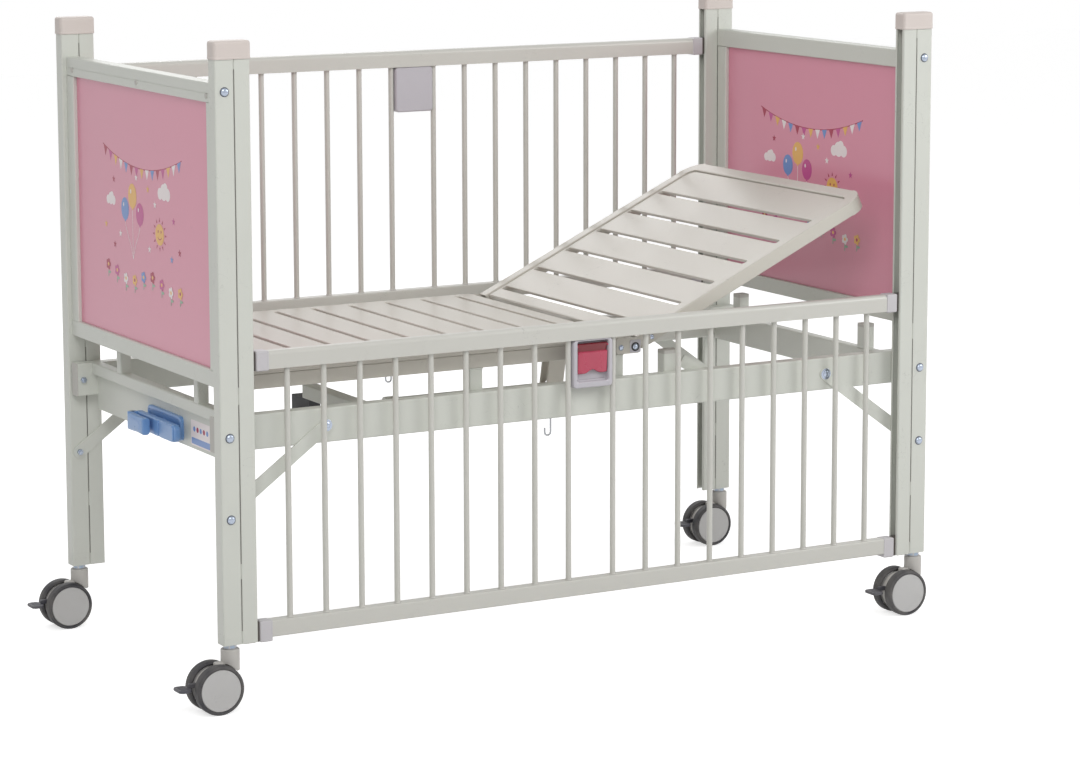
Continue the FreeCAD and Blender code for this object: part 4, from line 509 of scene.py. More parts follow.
def row_tree():
    """Nodes that set a shape along a straight row."""
    name = "Cot Row"
    if name in bpy.data.node_groups:
        return bpy.data.node_groups[name]
    tree, given, made = new_group(name, "GeometryNodeTree", (
        ("Places", "NodeSocketGeometry", None), ("Shape", "NodeSocketObject", None),
        ("Count", "NodeSocketInt", 3), ("Start", "NodeSocketVector", (0.0, 0.0, 0.0)),
        ("Pitch", "NodeSocketVector", (0.1, 0.0, 0.0)), ("Finish", "NodeSocketMaterial", None),
    ), (("Pieces", "NodeSocketGeometry"),))
    line = add(tree, "GeometryNodeMeshLine", {"mode": "OFFSET"}, Count=given.outputs["Count"],
               Start_Location=given.outputs["Start"], Offset=given.outputs["Pitch"])
    spots = add(tree, "GeometryNodeInstanceOnPoints", Points=line.outputs[0], Instance=pattern(tree, given))
    ended(tree, spots, given, made)
    return tree


def ended(tree, spots, given, made):
    """End a tree in whole geometry with its finish."""
    real = add(tree, "GeometryNodeRealizeInstances", Geometry=spots.outputs[0])
    painted = add(tree, "GeometryNodeSetMaterial", Geometry=real.outputs[0], Material=given.outputs["Finish"])
    tree.links.new(painted.outputs[0], made.inputs[0])


def node_mesh(name, tree, shape, finish_name, places=(), **values):
    """The plain mesh that a tree makes of a shape."""
    held = bpy.data.meshes.new(name + "_shape")
    shape.to_mesh(held)
    shape.free()
    model = bpy.data.objects.new(name + "_shape", held)
    points = bpy.data.meshes.new(name + "_places")
    points.from_pydata([tuple(place) for place, turn in places], [], [])
    turns = points.attributes.new("turn", "FLOAT_VECTOR", "POINT")
    for number, (place, turn) in enumerate(places):
        turns.data[number].vector = turn
    host = bpy.data.objects.new(name + "_places", points)
    for made in (model, host):
        bpy.context.scene.collection.objects.link(made)
    step = host.modifiers.new("Repeat", "NODES")
    step.node_group = tree
    values = {"Shape": model, "Finish": finish(finish_name), **values}
    for socket in tree.interface.items_tree:
        if socket.item_type == "SOCKET" and socket.in_out == "INPUT" and socket.name in values:
            step[socket.identifier] = values[socket.name]
    bpy.context.view_layer.update()
    result = bpy.data.meshes.new_from_object(host.evaluated_get(bpy.context.evaluated_depsgraph_get()))
    host.modifiers.clear()
    for made in (model, host):
        bpy.data.objects.remove(made)
    if not result.polygons:
        raise RuntimeError(f"{name}: the nodes made nothing")
    for polygon in result.polygons:
        polygon.use_smooth = True
    return result


# ---------------------------------------------------------------- pieces


def frame_finishes():
    """Give every shown part of the frame its finish."""
    for row in frame["record"]["subparts"]:
        node = frame["nodes"][row["node"]]
        if not node.material_slots:
            node.data.materials.append(None)
        for slot in node.material_slots:
            slot.material = finish(REPAINTED.get(row["node"], row["material_slot"]))


def post_caps():
    """Moulded caps with a lip round their skirt."""
    low, high = box("post_caps")
    half_long, half_wide, corner, lip, lip_tall = 0.0395, 0.0185, 0.007, 0.0003, 0.005
    edge, tall = bpy.context.scene.cot_sizes.cap_round, high.z - low.z - SKIN
    whole = bmesh.new()
    for x in (low.x + half_long, high.x - half_long):
        for y in (low.y + half_wide, high.y - half_wide):
            put(whole, plate(half_long - lip, half_wide - lip, corner, tall, edge, both=False, steps=5),
                Matrix.Translation((x, y, low.z + SKIN)))
            put(whole, plate(half_long, half_wide, corner + SKIN, lip_tall, 0.0012),
                Matrix.Translation((x, y, low.z)))
    piece("post_cap_mouldings", whole, ["cap_plastic"], "frame", ["post_caps"])


def bolt_places():
    """Each frame bolt: its head's place and turn, its nut's place across, and whether it is in a post."""
    for side in (-1, 1):
        turn = (-side * math.pi / 2, 0.0, 0.0)
        for x in POST_XS:
            for z, nut_y in ((RAIL_Z, RAIL_INNER_Y), (BRACE_BOLT_Z, RAIL_OUTER_Y), (PANEL_BOLT_Z, INNER_Y)):
                yield (x, side * OUTER_Y, z), turn, side * nut_y, True
        for x in (POST_XS[0] + BRACE_REACH, POST_XS[1] - BRACE_REACH):
            yield (x, side * INNER_Y, RAIL_Z), turn, side * RAIL_INNER_Y, False


def repeated(name, shape, finish_name, spots, nodes=(), angle=38.0):
    """A piece of the frame that is one shape on many spots."""
    mesh = node_mesh(name, repeat_tree(), shape, finish_name, spots, Size=1.0)
    dressed(name, mesh, [finish_name], "frame", nodes, angle)


def frame_bolts():
    """Domed bolts with dark washer rims, whose darkness also paints the shadow round their heads, low-headed
    bolts, their nuts and the spacers behind the posts.
    """
    sizes = bpy.context.scene.cot_sizes
    bolts = list(bolt_places())
    in_posts = [(place, turn) for place, turn, _, in_post in bolts if in_post]
    in_rails = [(place, turn) for place, turn, _, in_post in bolts if not in_post]
    nuts = [((x, nut_y, z), (-turn[0], 0.0, 0.0)) for (x, _, z), turn, nut_y, _ in bolts]
    spacers = [((x, side * INNER_Y, RAIL_Z), (side * math.pi / 2, 0.0, 0.0))
               for side in (-1, 1) for x in POST_XS]

    radius, dome = sizes.bolt_head / 2, sizes.bolt_dome
    # the rims' dark finish is partly painted shadow round the bolt heads
    rim = turned([(0.0, 0.0004), (radius + 0.0010, 0.0004), (radius + 0.0014, 0.0), (0.0, 0.0)], steps=28)
    repeated("frame_bolt_rims", rim, "rim_dark", in_posts)
    shares = ((0.0, 1.0), (0.55, 0.96), (0.82, 0.78), (0.96, 0.42), (1.0, 0.2), (1.0, 0.0), (0.0, 0.0))
    head = turned([(radius * across, dome * up) for across, up in shares], steps=28)
    repeated("frame_bolt_heads", head, "zinc", in_posts, ["frame_bolts"])
    low_head = turned([(0.0, 0.0025), (0.005, 0.0023), (0.007, 0.0013), (0.0072, 0.0008), (0.0114, 0.0008),
                       (0.012, 0.0004), (0.012, 0.0), (0.0, 0.0)], steps=28)
    repeated("rail_bolt_heads", low_head, "zinc", in_rails)
    nut = turned([(0.0, 0.0095), (0.0032, 0.0095), (0.004, 0.0085), (0.004, 0.0065), (0.0058, 0.0065),
                  (0.0065, 0.006), (0.0065, 0.0), (0.0, 0.0)], steps=6)
    repeated("frame_bolt_nuts", nut, "zinc", nuts, angle=25.0)
    spacer = turned([(0.0045, 0.0), (0.0115, 0.0), (0.012, 0.0005), (0.012, 0.0025), (0.0115, 0.003),
                     (0.0045, 0.003)], steps=32, closed=True)
    repeated("rail_spacers", spacer, "zinc", spacers)


def disc_points(u, v, wide, tall=None, count=28):
    """Points round an ellipse."""
    tall = wide if tall is None else tall
    angles = [number / count * 2 * math.pi for number in range(count)]
    return [(u + wide * math.cos(a), v + tall * math.sin(a)) for a in angles]


def ribbon(points, du, dv):
    """Points of a band along a line, which reaches (du, dv) to either side of it."""
    return [(u + du, v + dv) for u, v in points] + [(u - du, v - dv) for u, v in points[::-1]]


def clouds():
    """White clouds, each of four discs."""
    return [("ink_white", disc_points(u + du * size, v + dv * size, part * size))
            for u, v, size in ((112, 62, 17), (-168, 22, 13))
            for du, dv, part in ((0, 0, 1.0), (-1.1, -0.25, 0.72), (1.15, -0.2, 0.78), (0.5, 0.5, 0.66))]


def bunting(reach=206, low=98, dip=36, flags=15):
    """A sagging cord and the pennants that hang from it."""
    steps = 2 * flags
    cord = [(reach * (2 * k / steps - 1), low + dip * (2 * k / steps - 1) ** 2) for k in range(steps + 1)]
    shapes = [("ink_crimson", ribbon(cord, 0, 1.2))]
    inks = ("ink_crimson", "ink_white", "ink_plum", "ink_sky", "ink_sun")
    wide, tall = 9.5, 21
    for number in range(flags):
        u, v = cord[2 * number + 1]
        lean = (cord[2 * number][1] - cord[2 * number + 2][1]) * 0.35
        shapes.append((inks[2 * number % 5], [(u - wide, v + lean), (u, v - tall), (u + wide, v - lean)]))
    return shapes


def balloons(knot_u=-52, knot_v=-92):
    """Three balloons with shines, whose strings meet in a knot."""
    shapes = []
    for u, v, ink, size in ((-92, 8, "ink_sky", 20), (-52, 38, "ink_sun", 22), (-14, 4, "ink_plum", 20)):
        neck = v - 1.2 * size
        string = [(knot_u + (u - knot_u) * t, knot_v + (neck - knot_v) * t + 4 * math.sin(5.5 * t))
                  for t in (k / 16 for k in range(17))]
        shapes.append(("ink_white", ribbon(string, -0.9, 0)))
        shapes.append((ink, [(u - 4, v - 1.30 * size), (u + 4, v - 1.30 * size), (u, v - 1.08 * size)]))
        shapes.append((ink, disc_points(u, v, size, size * 1.18)))
        shine = disc_points(u - 0.36 * size, v + 0.42 * size, 0.13 * size, 0.22 * size, 16)
        shapes.append(("ink_white", shine))
    return shapes


def sun(u=88, v=-26):
    """A smiling sun with twelve rays."""
    shapes = []
    near, far, half = 26, 36, 2.6
    for number in range(12):
        across, up = math.cos(number * math.pi / 6), math.sin(number * math.pi / 6)
        shapes.append(("ink_crimson", [(u + near * across + half * up, v + near * up - half * across),
                                       (u + far * across, v + far * up),
                                       (u + near * across - half * up, v + near * up + half * across)]))
    shapes.append(("ink_sun", disc_points(u, v, 22)))
    for side in (-1, 1):
        shapes.append(("ink_crimson", disc_points(u + side * 7.5, v + 6, 2.3, 3.2, 16)))
    angles = [math.pi * (1.15 + 0.7 * k / 12) for k in range(13)]
    smile = [(u + 11 * math.cos(a), v - 0.9 + 9 * math.sin(a)) for a in angles]
    shapes.append(("ink_crimson", ribbon(smile, 0, -1.1)))
    return shapes


def stars():
    """Small five-pointed stars."""
    shapes = []
    for u, v, ink in ((-150, 64, "ink_crimson"), (-118, -46, "ink_white"), (30, 60, "ink_sun"),
                      (34, -62, "ink_white"), (160, 8, "ink_plum"), (-196, -34, "ink_sun"),
                      (188, -52, "ink_crimson"), (66, 32, "ink_white"), (-30, 78, "ink_white"),
                      (148, -70, "ink_sky"), (-150, -72, "ink_crimson")):
        tips = []
        for number in range(10):
            angle, reach = math.pi / 2 + number * math.pi / 5, (3.6 if number % 2 else 8.5)
            tips.append((u + reach * math.cos(angle), v + reach * math.sin(angle)))
        shapes.append((ink, tips))
    return shapes


def flowers():
    """A waving row of flowers on short stems."""
    shapes = []
    inks = ("ink_crimson", "ink_white", "ink_sky", "ink_plum", "ink_sun")
    for number in range(9):
        u, v = -188 + 47 * number, -128 + 10 * math.cos(number * 1.3)
        ink = inks[number * 3 % 5]
        shapes.append(("ink_leaf", [(u - 1.3, v - 26), (u + 1.3, v - 26), (u + 1.3, v), (u - 1.3, v)]))
        shapes.append(("ink_leaf", disc_points(u + 6, v - 16, 6, 2.8, 16)))
        for petal in range(5):
            across, up = math.cos(petal * 2 * math.pi / 5), math.sin(petal * 2 * math.pi / 5)
            shapes.append((ink, disc_points(u + 7.4 * across, v + 7.4 * up, 5.0, count=16)))
        shapes.append(("ink_crimson" if ink == "ink_sun" else "ink_sun", disc_points(u, v, 3.9, count=16)))
    return shapes


def print_shapes():
    """The end panels' print in millimetres round their middle, back to front, as inks and outlines."""
    return clouds() + bunting() + balloons() + sun() + stars() + flowers()


def end_panels():
    """Laminate boards with softened edges, and a print on both their faces."""
    lift = bpy.context.scene.cot_sizes.print_lift
    layer = 0.000003          # each shape of the print over the one before
    inks = ["ink_crimson", "ink_white", "ink_sky", "ink_sun", "ink_plum", "ink_leaf"]
    for end, out in (("foot", -1), ("head", 1)):
        middle, half = middle_and_half(f"{end}_panel")
        whole = bmesh.new()
        put(whole, plate(half.y, half.z, 0.0012, 2 * half.x, 0.0010),
            facing((middle.x - half.x, 0.0, middle.z), (0, 1, 0), (1, 0, 0)))
        piece(f"{end}_board", whole, ["panel_pink"], "frame", [f"{end}_panel"])
        for face, side in (("outer", out), ("inner", -out)):
            whole = bmesh.new()
            place = facing((middle.x + side * half.x, 0.0, middle.z), (0, side, 0), (side, 0, 0))
            for number, (ink, points) in enumerate(print_shapes()):
                part = bmesh.new()
                outline = level([(u / 1000, v / 1000) for u, v in points], lift + number * layer)
                flat = part.faces.new([part.verts.new(point) for point in outline])
                flat.normal_update()
                if flat.normal.z < 0:
                    flat.normal_flip()
                bmesh.ops.triangulate(part, faces=part.faces)
                put(whole, part, place, inks.index(ink))
            piece(f"{end}_print_{face}", whole, inks, "frame")


def pressed_sheet(outer, slots, drop, roll):
    """A sheet whose outer edge and slots' edges are rolled down. Outlines take how far they grow."""
    part = bmesh.new()
    steps, flat_rim = 4, 0.0006
    flat_edges = []
    for outline, grow in [(outer, -1)] + [(slot, 1) for slot in slots]:
        rows = [level(outline(grow * (roll + flat_rim)), 0.0)]
        for step in range(steps + 1):
            angle = step / steps * math.pi / 2
            rows.append(level(outline(grow * roll * (1 - math.sin(angle))), -roll * (1 - math.cos(angle))))
        rows.append(level(outline(0.0), -drop))
        made = [[part.verts.new(point) for point in row] for row in rows]
        for near, far in zip(made, made[1:]):
            for number in range(len(near)):
                after = (number + 1) % len(near)
                corners = [near[number], near[after], far[after], far[number]]
                face = part.faces.new(corners if grow > 0 else corners[::-1])
                face.smooth = True
        ring = made[0]
        flat_edges += [part.edges.get(ends) for ends in zip(ring, ring[1:] + ring[:1])]
    bmesh.ops.triangle_fill(part, edges=flat_edges, use_beauty=True, normal=(0, 0, 1))
    bmesh.ops.recalc_face_normals(part, faces=part.faces)
    top = max(part.faces, key=lambda face: face.calc_area())
    if top.normal.z < 0:
        bmesh.ops.reverse_faces(part, faces=part.faces)
    return part


def slot_outline(middle, half, reach, corner=0.0045):
    """The outline of one gap across a sheet, which grows by a given amount."""
    return lambda more: rounded(half + more, reach + more, max(corner + more, LEAST_CORNER), 3, (middle, 0.0))


def thickened(made):
    """Give a sheet its wall."""
    wall = made.modifiers.new("Wall", "SOLIDIFY")
    wall.thickness = bpy.context.scene.cot_sizes.sheet_thick
    wall.offset = -1.0
    made.modifiers.move(len(made.modifiers) - 1, 0)


def deck_sheet():
    """The fixed platform's pressed sheet."""
    sizes = bpy.context.scene.cot_sizes
    low, high = box("deck_panel")
    middle, half = middle_and_half("deck_panel")
    first, pitch, gap, margin, corner = 0.027, 0.09, 0.012, 0.025, 0.006

    def outer(more):
        return rounded(half.x + more, half.y + more, corner + more, steps=3, at=(middle.x, 0.0))

    slots = [slot_outline(low.x + first + pitch * k, gap / 2, half.y - margin)
             for k in range(sizes.slat_count)]
    whole = bmesh.new()
    put(whole, pressed_sheet(outer, slots, high.z - low.z - SKIN, sizes.sheet_roll),
        Matrix.Translation((0, 0, high.z)))
    thickened(piece("deck_slats", whole, ["platform_paint"], "frame", ["deck_panel"]))


def back_place():
    """From the back section's own flat frame, with its origin at the hinge, to its stored place."""
    return Matrix.Translation(HINGE) @ Matrix.Rotation(-STORED_ANGLE, 4, "Y")


def back_sheet():
    """The raised section's pressed sheet, with wide corners at the head."""
    start, end, half_wide, top = 0.022, 0.620, 0.3195, 0.012
    first, pitch, gap, margin = 0.062, 0.091, 0.013, 0.007
    middle, half = (start + end) / 2, (end - start) / 2

    def outer(more):
        points = []
        for quarter, (to_u, to_v) in enumerate(((1, 1), (-1, 1), (-1, -1), (1, -1))):
            corner = (0.0195 if to_u > 0 else 0.002) + more
            for step in range(6):
                angle = (quarter + step / 5) * math.pi / 2
                points.append((middle + to_u * (half + more - corner) + corner * math.cos(angle),
                               to_v * (half_wide + more - corner) + corner * math.sin(angle)))
        return points

    count = bpy.context.scene.cot_sizes.back_count
    slots = [slot_outline(first + pitch * k, gap / 2, half_wide - margin) for k in range(count)]
    whole = bmesh.new()
    put(whole, pressed_sheet(outer, slots, 0.0062, 0.0018), back_place() @ Matrix.Translation((0, 0, top)))
    thickened(piece("back_slats", whole, ["platform_paint"], "back", ["back_panel"]))


def hinges():
    """Hinge plates with a ringed pivot, and the cheek and bolt on the raised section."""
    middle, half = middle_and_half("hinge_plates")
    tube_y, back_y, thick = box("deck_frame")[1].y, box("back_frame")[1].y, 0.004
    plate_y, rivet_x = tube_y + thick, HINGE_PLATE_LOW.x + 0.012
    pivot_z = HINGE.z
    fixed, moving = bmesh.new(), bmesh.new()
    for side in (-1, 1):
        put(fixed, plate(half.x, half.z, 0.007, thick, 0.0008),
            outwards(middle.x, side * tube_y, middle.z, side), 2)
        put(fixed, plate(0.0130, 0.0135, 0.0025, 0.0008, 0.0004, both=False),
            outwards(HINGE.x, side * plate_y, pivot_z + 0.001, side), 3)
        for x, y, wide in ((HINGE.x, plate_y + 0.0005, 0.007), (rivet_x, plate_y, 0.006)):
            rivet = turned([(0.0, 0.003), (wide * 0.5, 0.0028), (wide * 0.85, 0.0018), (wide, 0.0004),
                            (wide, -0.002), (0.0, -0.002)], steps=28)
            put(fixed, rivet, outwards(x, side * y, pivot_z, side))
        ring = [(0.0070, 0.0), (0.0096, 0.0), (0.0094, 0.0011), (0.0070, 0.0011)]
        put(fixed, turned(ring, steps=32, closed=True),
            outwards(HINGE.x, side * (plate_y + 0.0007), pivot_z, side), 1)
        # the cheek lies on the outer face of the raised section's tube
        cheek = back_place() @ outwards(0.045, side * back_y, -0.003, side)
        put(moving, plate(0.0185, 0.0115, 0.0085, 0.0014, 0.0006), cheek, 1)
        knob = [(0.0, 0.0042), (0.003, 0.0039), (0.005, 0.0028), (0.006, 0.0014), (0.006, 0.0), (0.0, 0.0)]
        put(moving, turned(knob, steps=28), cheek)
    piece("hinge_plate_pairs", fixed, ["zinc", "bearing_dark", "platform_paint", "latch_grey"],
          "frame", ["hinge_plates"])
    piece("back_cheeks", moving, ["zinc", "platform_paint"], "back")


def rail_bars():
    """Round bars between a side rail's tubes, with a weld bead at either end."""
    sizes = bpy.context.scene.cot_sizes
    radius, bead = sizes.bar_thick / 2, sizes.weld * 0.4
    for side, across in SIDES:
        low, high = (corner.z for corner in box(f"{side}_rail_bars"))
        low, high = low + SKIN, high - SKIN
        foot = [(0.0, low), (radius + bead, low), (radius + bead / 2, low + bead), (radius, low + bead * 2)]
        crown = [(wide, high - (up - low)) for wide, up in foot[::-1]]
        whole = bmesh.new()
        for way in (-1, 1):
            first = (RAIL_MIDDLE + way * FIRST_BAR, across * SIDE_Y, 0.0)
            mesh = node_mesh(f"{side}_bars", row_tree(), turned(foot + crown, steps=20), "rail_paint",
                             Count=sizes.bar_count, Start=first, Pitch=(way * sizes.bar_pitch, 0.0, 0.0))
            whole.from_mesh(mesh)
            bpy.data.meshes.remove(mesh)
        piece(f"{side}_rail_spindles", whole, ["rail_paint"], f"{side}_rail",
              [f"{side}_rail_bars"])


def end_blocks():
    """Moulded blocks on the ends of the side rails, with sliders in the guides whose dark brown is painted
    shade of the guide slots.
    """
    edge = bpy.context.scene.cot_sizes.block_round
    # each block: how far its two ends lie in from the slider's end, half its width, inset and rounding
    mouldings = ((0.061, 0.035, 0.014, 0.0, edge), (0.0615, 0.058, 0.0143, 0.001, 0.001))
    sliders = ((0.0355, 0.0245, 0.00875, 0.001, 0.0012), (0.026, 0.0, 0.013, 0.001, 0.002))
    upper_tall, lower_tall = 0.040, 0.043
    for side, across in SIDES:
        low, high = box(f"{side}_rail_end_blocks")
        whole, slides = bmesh.new(), bmesh.new()
        for way, end in ((-1, low.x), (1, high.x)):
            for bottom, tall in ((high.z - upper_tall, upper_tall), (low.z, lower_tall)):
                for target, rows in ((whole, mouldings), (slides, sliders)):
                    for near, far, half, inset, round_by in rows:
                        xs = sorted((end - way * near, end - way * far))
                        put(target, block((xs[0], across * SIDE_Y - half, bottom + inset),
                                          (xs[1], across * SIDE_Y + half, bottom + tall - inset), round_by))
        piece(f"{side}_end_mouldings", whole, ["block_plastic"], f"{side}_rail",
              [f"{side}_rail_end_blocks"])
        piece(f"{side}_sliders", slides, ["slider"], f"{side}_rail")


def latch_case(side, across):
    """A latch housing with a deep recess and a ledge at its foot."""
    middle, half = middle_and_half(f"{side}_latch_housing")
    wide, deep, tall = half
    well_u, well_v, well_at = 0.0370, 0.0425, (0.0, 0.0045)
    rows = [(wide - 0.0025, tall - 0.0025, 0.006, -deep), (wide, tall, 0.008, 0.0025 - deep),
            (wide, tall, 0.008, deep - 0.0035), (wide - 0.0007, tall - 0.0007, 0.0075, deep - 0.0013),
            (wide - 0.0025, tall - 0.0025, 0.007, deep)]
    loops = [level(rounded(u, v, corner), w) for u, v, corner, w in rows]
    loops.append(level(rounded(well_u + 0.0022, well_v + 0.0022, 0.006, at=well_at), deep))
    for inset, w in ((0.0, 0.0102), (0.0006, 0.004), (0.0012, -0.0012), (0.0035, -0.002)):
        loops.append(level(rounded(well_u - inset, well_v - inset, 0.0045, at=well_at), w))
    place = outwards(middle.x, middle.y, middle.z, across)
    whole = bmesh.new()
    put(whole, lofted(loops), place)
    put(whole, block((-0.033, -0.0010, 0.0), (0.033, 0.0025, 0.006), 0.001),
        place @ Matrix.Translation((0.0, -0.0375, -0.002)))
    piece(f"{side}_latch_case", whole, ["latch_grey"], f"{side}_rail",
          [f"{side}_latch_housing"])


def latch_grip(side, across):
    """A latch handle, straight on top, with its upper band painted darker red as painted shade, and a finger
    arch in its lower edge.
    """
    middle, half = middle_and_half(f"{side}_latch_handle")
    top, back_y = middle.z + half.z, middle.y - across * half.y
    reach, count, band_low, crown = 0.0345, 18, 0.0165, 0.0012
    arch_from, arch_long, arch_tall, arch_half = 0.034, 0.029, 0.0075, 0.019
    rows = []
    for v, w in ((0.0, 0.004), (0.0, 0.0085), (-0.0015, 0.0105), (-0.013, 0.0072), (-band_low, 0.0070),
                 (-0.0178, 0.0106), (-0.0205, 0.0110), (-0.038, 0.0098), (-0.054, 0.0092), (-0.0612, 0.0085),
                 (-0.0630, 0.0065), (-0.0628, 0.0035)):
        bend = max(0.0, min(1.0, (-v - arch_from) / arch_long))
        row = []
        for number in range(count + 1):
            u = -reach + 2 * reach * number / count
            arch = bend * arch_tall * (0.5 + 0.5 * math.cos(min(abs(u) / arch_half, 1.0) * math.pi))
            drop = crown if number in (0, count) else 0.0
            row.append((u, v + arch, w - drop - crown * (u / reach) ** 2))
        rows.append(row)
    part = bmesh.new()
    front = [[part.verts.new(point) for point in row] for row in rows]
    for near, far in zip(front, front[1:]):
        for number in range(count):
            part.faces.new((near[number], far[number], far[number + 1], near[number + 1]))
    rim = [row[0] for row in front] + front[-1][1:] + [row[-1] for row in front[-2::-1]] + front[0][-2:0:-1]
    back = [part.verts.new((vert.co.x, vert.co.y, 0.0005)) for vert in rim]
    for number in range(len(rim)):
        after = (number + 1) % len(rim)
        part.faces.new((rim[number], back[number], back[after], rim[after]))
    part.faces.new(back)
    bmesh.ops.recalc_face_normals(part, faces=part.faces)
    # faces of the upper band take the second finish, a darker red that paints the band's shade
    in_band = [face.calc_center_median().y > -band_low for face in part.faces]
    handle = bmesh.new()
    put(handle, part, outwards(middle.x, back_y, top, across))
    handle.faces.ensure_lookup_table()
    for number, dark in enumerate(in_band):
        handle.faces[number].material_index = int(dark)
    for way in (-1, 1):
        pin = Matrix.Translation((middle.x + way * 0.034, middle.y, top - 0.005))
        put(handle, turned(rod(0.0025, 0.0045), steps=16), pin @ Matrix.Rotation(way * math.pi / 2, 4, "Y"))
    piece(f"{side}_latch_grip", handle, ["latch_red", "latch_deep"], f"{side}_handle",
          [f"{side}_latch_handle"])


def latches():
    """Latch housings and their red handles."""
    for side, across in SIDES:
        latch_case(side, across)
        latch_grip(side, across)


def footwards(x, y, z):
    """Lays a piece on a face that looks towards the foot of the cot."""
    return facing((x, y, z), (0, -1, 0), (-1, 0, 0))


def crank_bezel():
    """Bezel on the folded plate, with a bearing ring and sleeve round the screw."""
    middle, half = middle_and_half("crank_bearing")
    place = footwards(box("crank_plate")[0].x, middle.y, middle.z)
    insets = ((0.0, 0.010, 0.0), (0.0, 0.010, 0.005), (0.0008, 0.0095, 0.0072), (0.0025, 0.0085, 0.008),
              (0.006, 0.0075, 0.008), (0.007, 0.007, 0.0068))
    whole = bmesh.new()
    put(whole, stacked([(half.y - inset, half.z - inset, corner, w) for inset, corner, w in insets]), place)
    axis = place @ Matrix.Translation((0.0, middle_and_half("crank_arm")[0].z - middle.z, 0.0))
    bore = 0.0082
    ring = [(bore, 0.0055), (0.0155, 0.0055), (0.0155, 0.0074), (0.0146, 0.0080), (bore, 0.0080)]
    sleeve = [(bore, 0.001), (0.0175, 0.001), (0.0175, -0.013), (0.0165, -0.014), (bore, -0.014)]
    for profile in (ring, sleeve):
        put(whole, turned(profile, closed=True), axis)
    piece("crank_bezel", whole, ["crank_blue"], "frame", ["crank_bearing"])


def crank_lever():
    """Crank arm with a raised pad, a hub behind it, and two ears with the grip's pin."""
    low, high = box("crank_arm")
    middle, half = middle_and_half("crank_arm")
    gap, ear, pad = 0.006, 0.008, 0.0165
    face = footwards(box("crank_bearing")[0].x - gap, middle.y, middle.z)
    arm = bmesh.new()
    put(arm, plate(half.y, half.z, 0.013, 0.0155, 0.004, steps=4), face)
    put(arm, plate(0.036, pad, 0.009, 0.0035, 0.0016, at=(0.066, 0.0), start=0.0145), face)
    put(arm, plate(0.012, pad, 0.006, 0.0030, 0.0014, at=(0.0135, 0.0), start=0.0145), face)
    hub = [(0.008, -0.0056), (0.012, -0.0056), (0.013, -0.0046), (0.013, 0.001), (0.008, 0.001)]
    put(arm, turned(hub, closed=True), face)
    x, y = grip_pivot()
    for bottom in (low.z, high.z - ear):
        put(arm, turned(rod(ear, ear, 0.0008), steps=28), Matrix.Translation((x, y, bottom)))
        put(arm, block((x, y - 0.0076, bottom), (x + 0.01225, y + 0.0076, bottom + ear), 0.0010))
    put(arm, turned(rod(0.003, 0.0362, 0.0006), steps=20), Matrix.Translation((x, y, low.z - 0.0001)), 1)
    piece("crank_lever", arm, ["crank_blue", "zinc"], "crank", ["crank_arm"])


def grip_pivot():
    """Where the grip's pin stands, along and across the cot."""
    low, high = box("crank_arm")
    return low.x + 0.008, (low.y + high.y) / 2 + 0.092


def crank_handgrip():
    """Folding grip: a swelling bar with an inset, a neck and the eye round its pin."""
    x, y = grip_pivot()
    z = middle_and_half("crank_arm")[0].z
    loops = []
    # place across, half its depth and half its height, from the free end to the neck
    for across, deep, tall in (
            (-0.0240, 0.0045, 0.0130), (-0.0228, 0.0080, 0.0165), (-0.0195, 0.0094, 0.0180),
            (-0.0040, 0.0090, 0.0174), (0.0160, 0.0086, 0.0168), (0.0360, 0.0091, 0.0175),
            (0.0520, 0.0094, 0.0180), (0.0560, 0.0085, 0.0170), (0.0570, 0.0060, 0.0145)):
        outline = rounded(deep, tall, min(deep * 0.75, 0.007), steps=4)
        loops.append([(x - 0.00415 + u, across, z + v) for u, v in outline])
    grip = bmesh.new()
    put(grip, lofted(loops))
    put(grip, plate(0.026, 0.0095, 0.008, 0.0006, 0.0003, both=False), footwards(x - 0.01305, 0.018, z))
    put(grip, block((x - 0.00755, y - 0.016, z - 0.0095), (x + 0.00745, y, z + 0.0095), 0.0016))
    put(grip, turned(rod(0.008, 0.0193, 0.001), steps=28), Matrix.Translation((x, y, z - 0.00965)))
    piece("crank_handgrip", grip, ["crank_blue"], "grip", ["crank_grip"])


def crank_card():
    """A blank card with a coloured foot and a row of dots, stuck on the folded plate beside the crank."""
    thick, ink = 0.0003, 0.0002
    place = footwards(box("crank_plate")[0].x, -0.198, 0.514)
    front = place @ Matrix.Translation((0.0, 0.0, thick))
    whole = bmesh.new()
    put(whole, plate(0.049, 0.026, 0.004, thick, 0.0001, both=False), place)
    put(whole, plate(0.046, 0.0065, 0.002, ink, 0.0001, at=(0.0, -0.0165), both=False), front, 1)
    for number in range(5):
        put(whole, turned([(0.0, ink), (0.0052, ink), (0.0055, 0.0), (0.0, 0.0)], steps=24),
            front @ Matrix.Translation((0.016 * (number - 2), 0.008, 0.0)), 1 + number % 2)
    piece("crank_plate_card", whole, ["ink_white", "ink_sky", "ink_crimson"], "frame")


def neck_floor(x, y):
    """How low the caster's neck may reach beside its wheels, x and y from the stem."""
    low, clear = 0.0822, 0.0517
    if abs(y) < 0.0095 or abs(x + TRAIL) > clear - 0.0003:
        return low
    return max(low, WHEEL_RADIUS + math.sqrt(clear ** 2 - (x + TRAIL) ** 2))


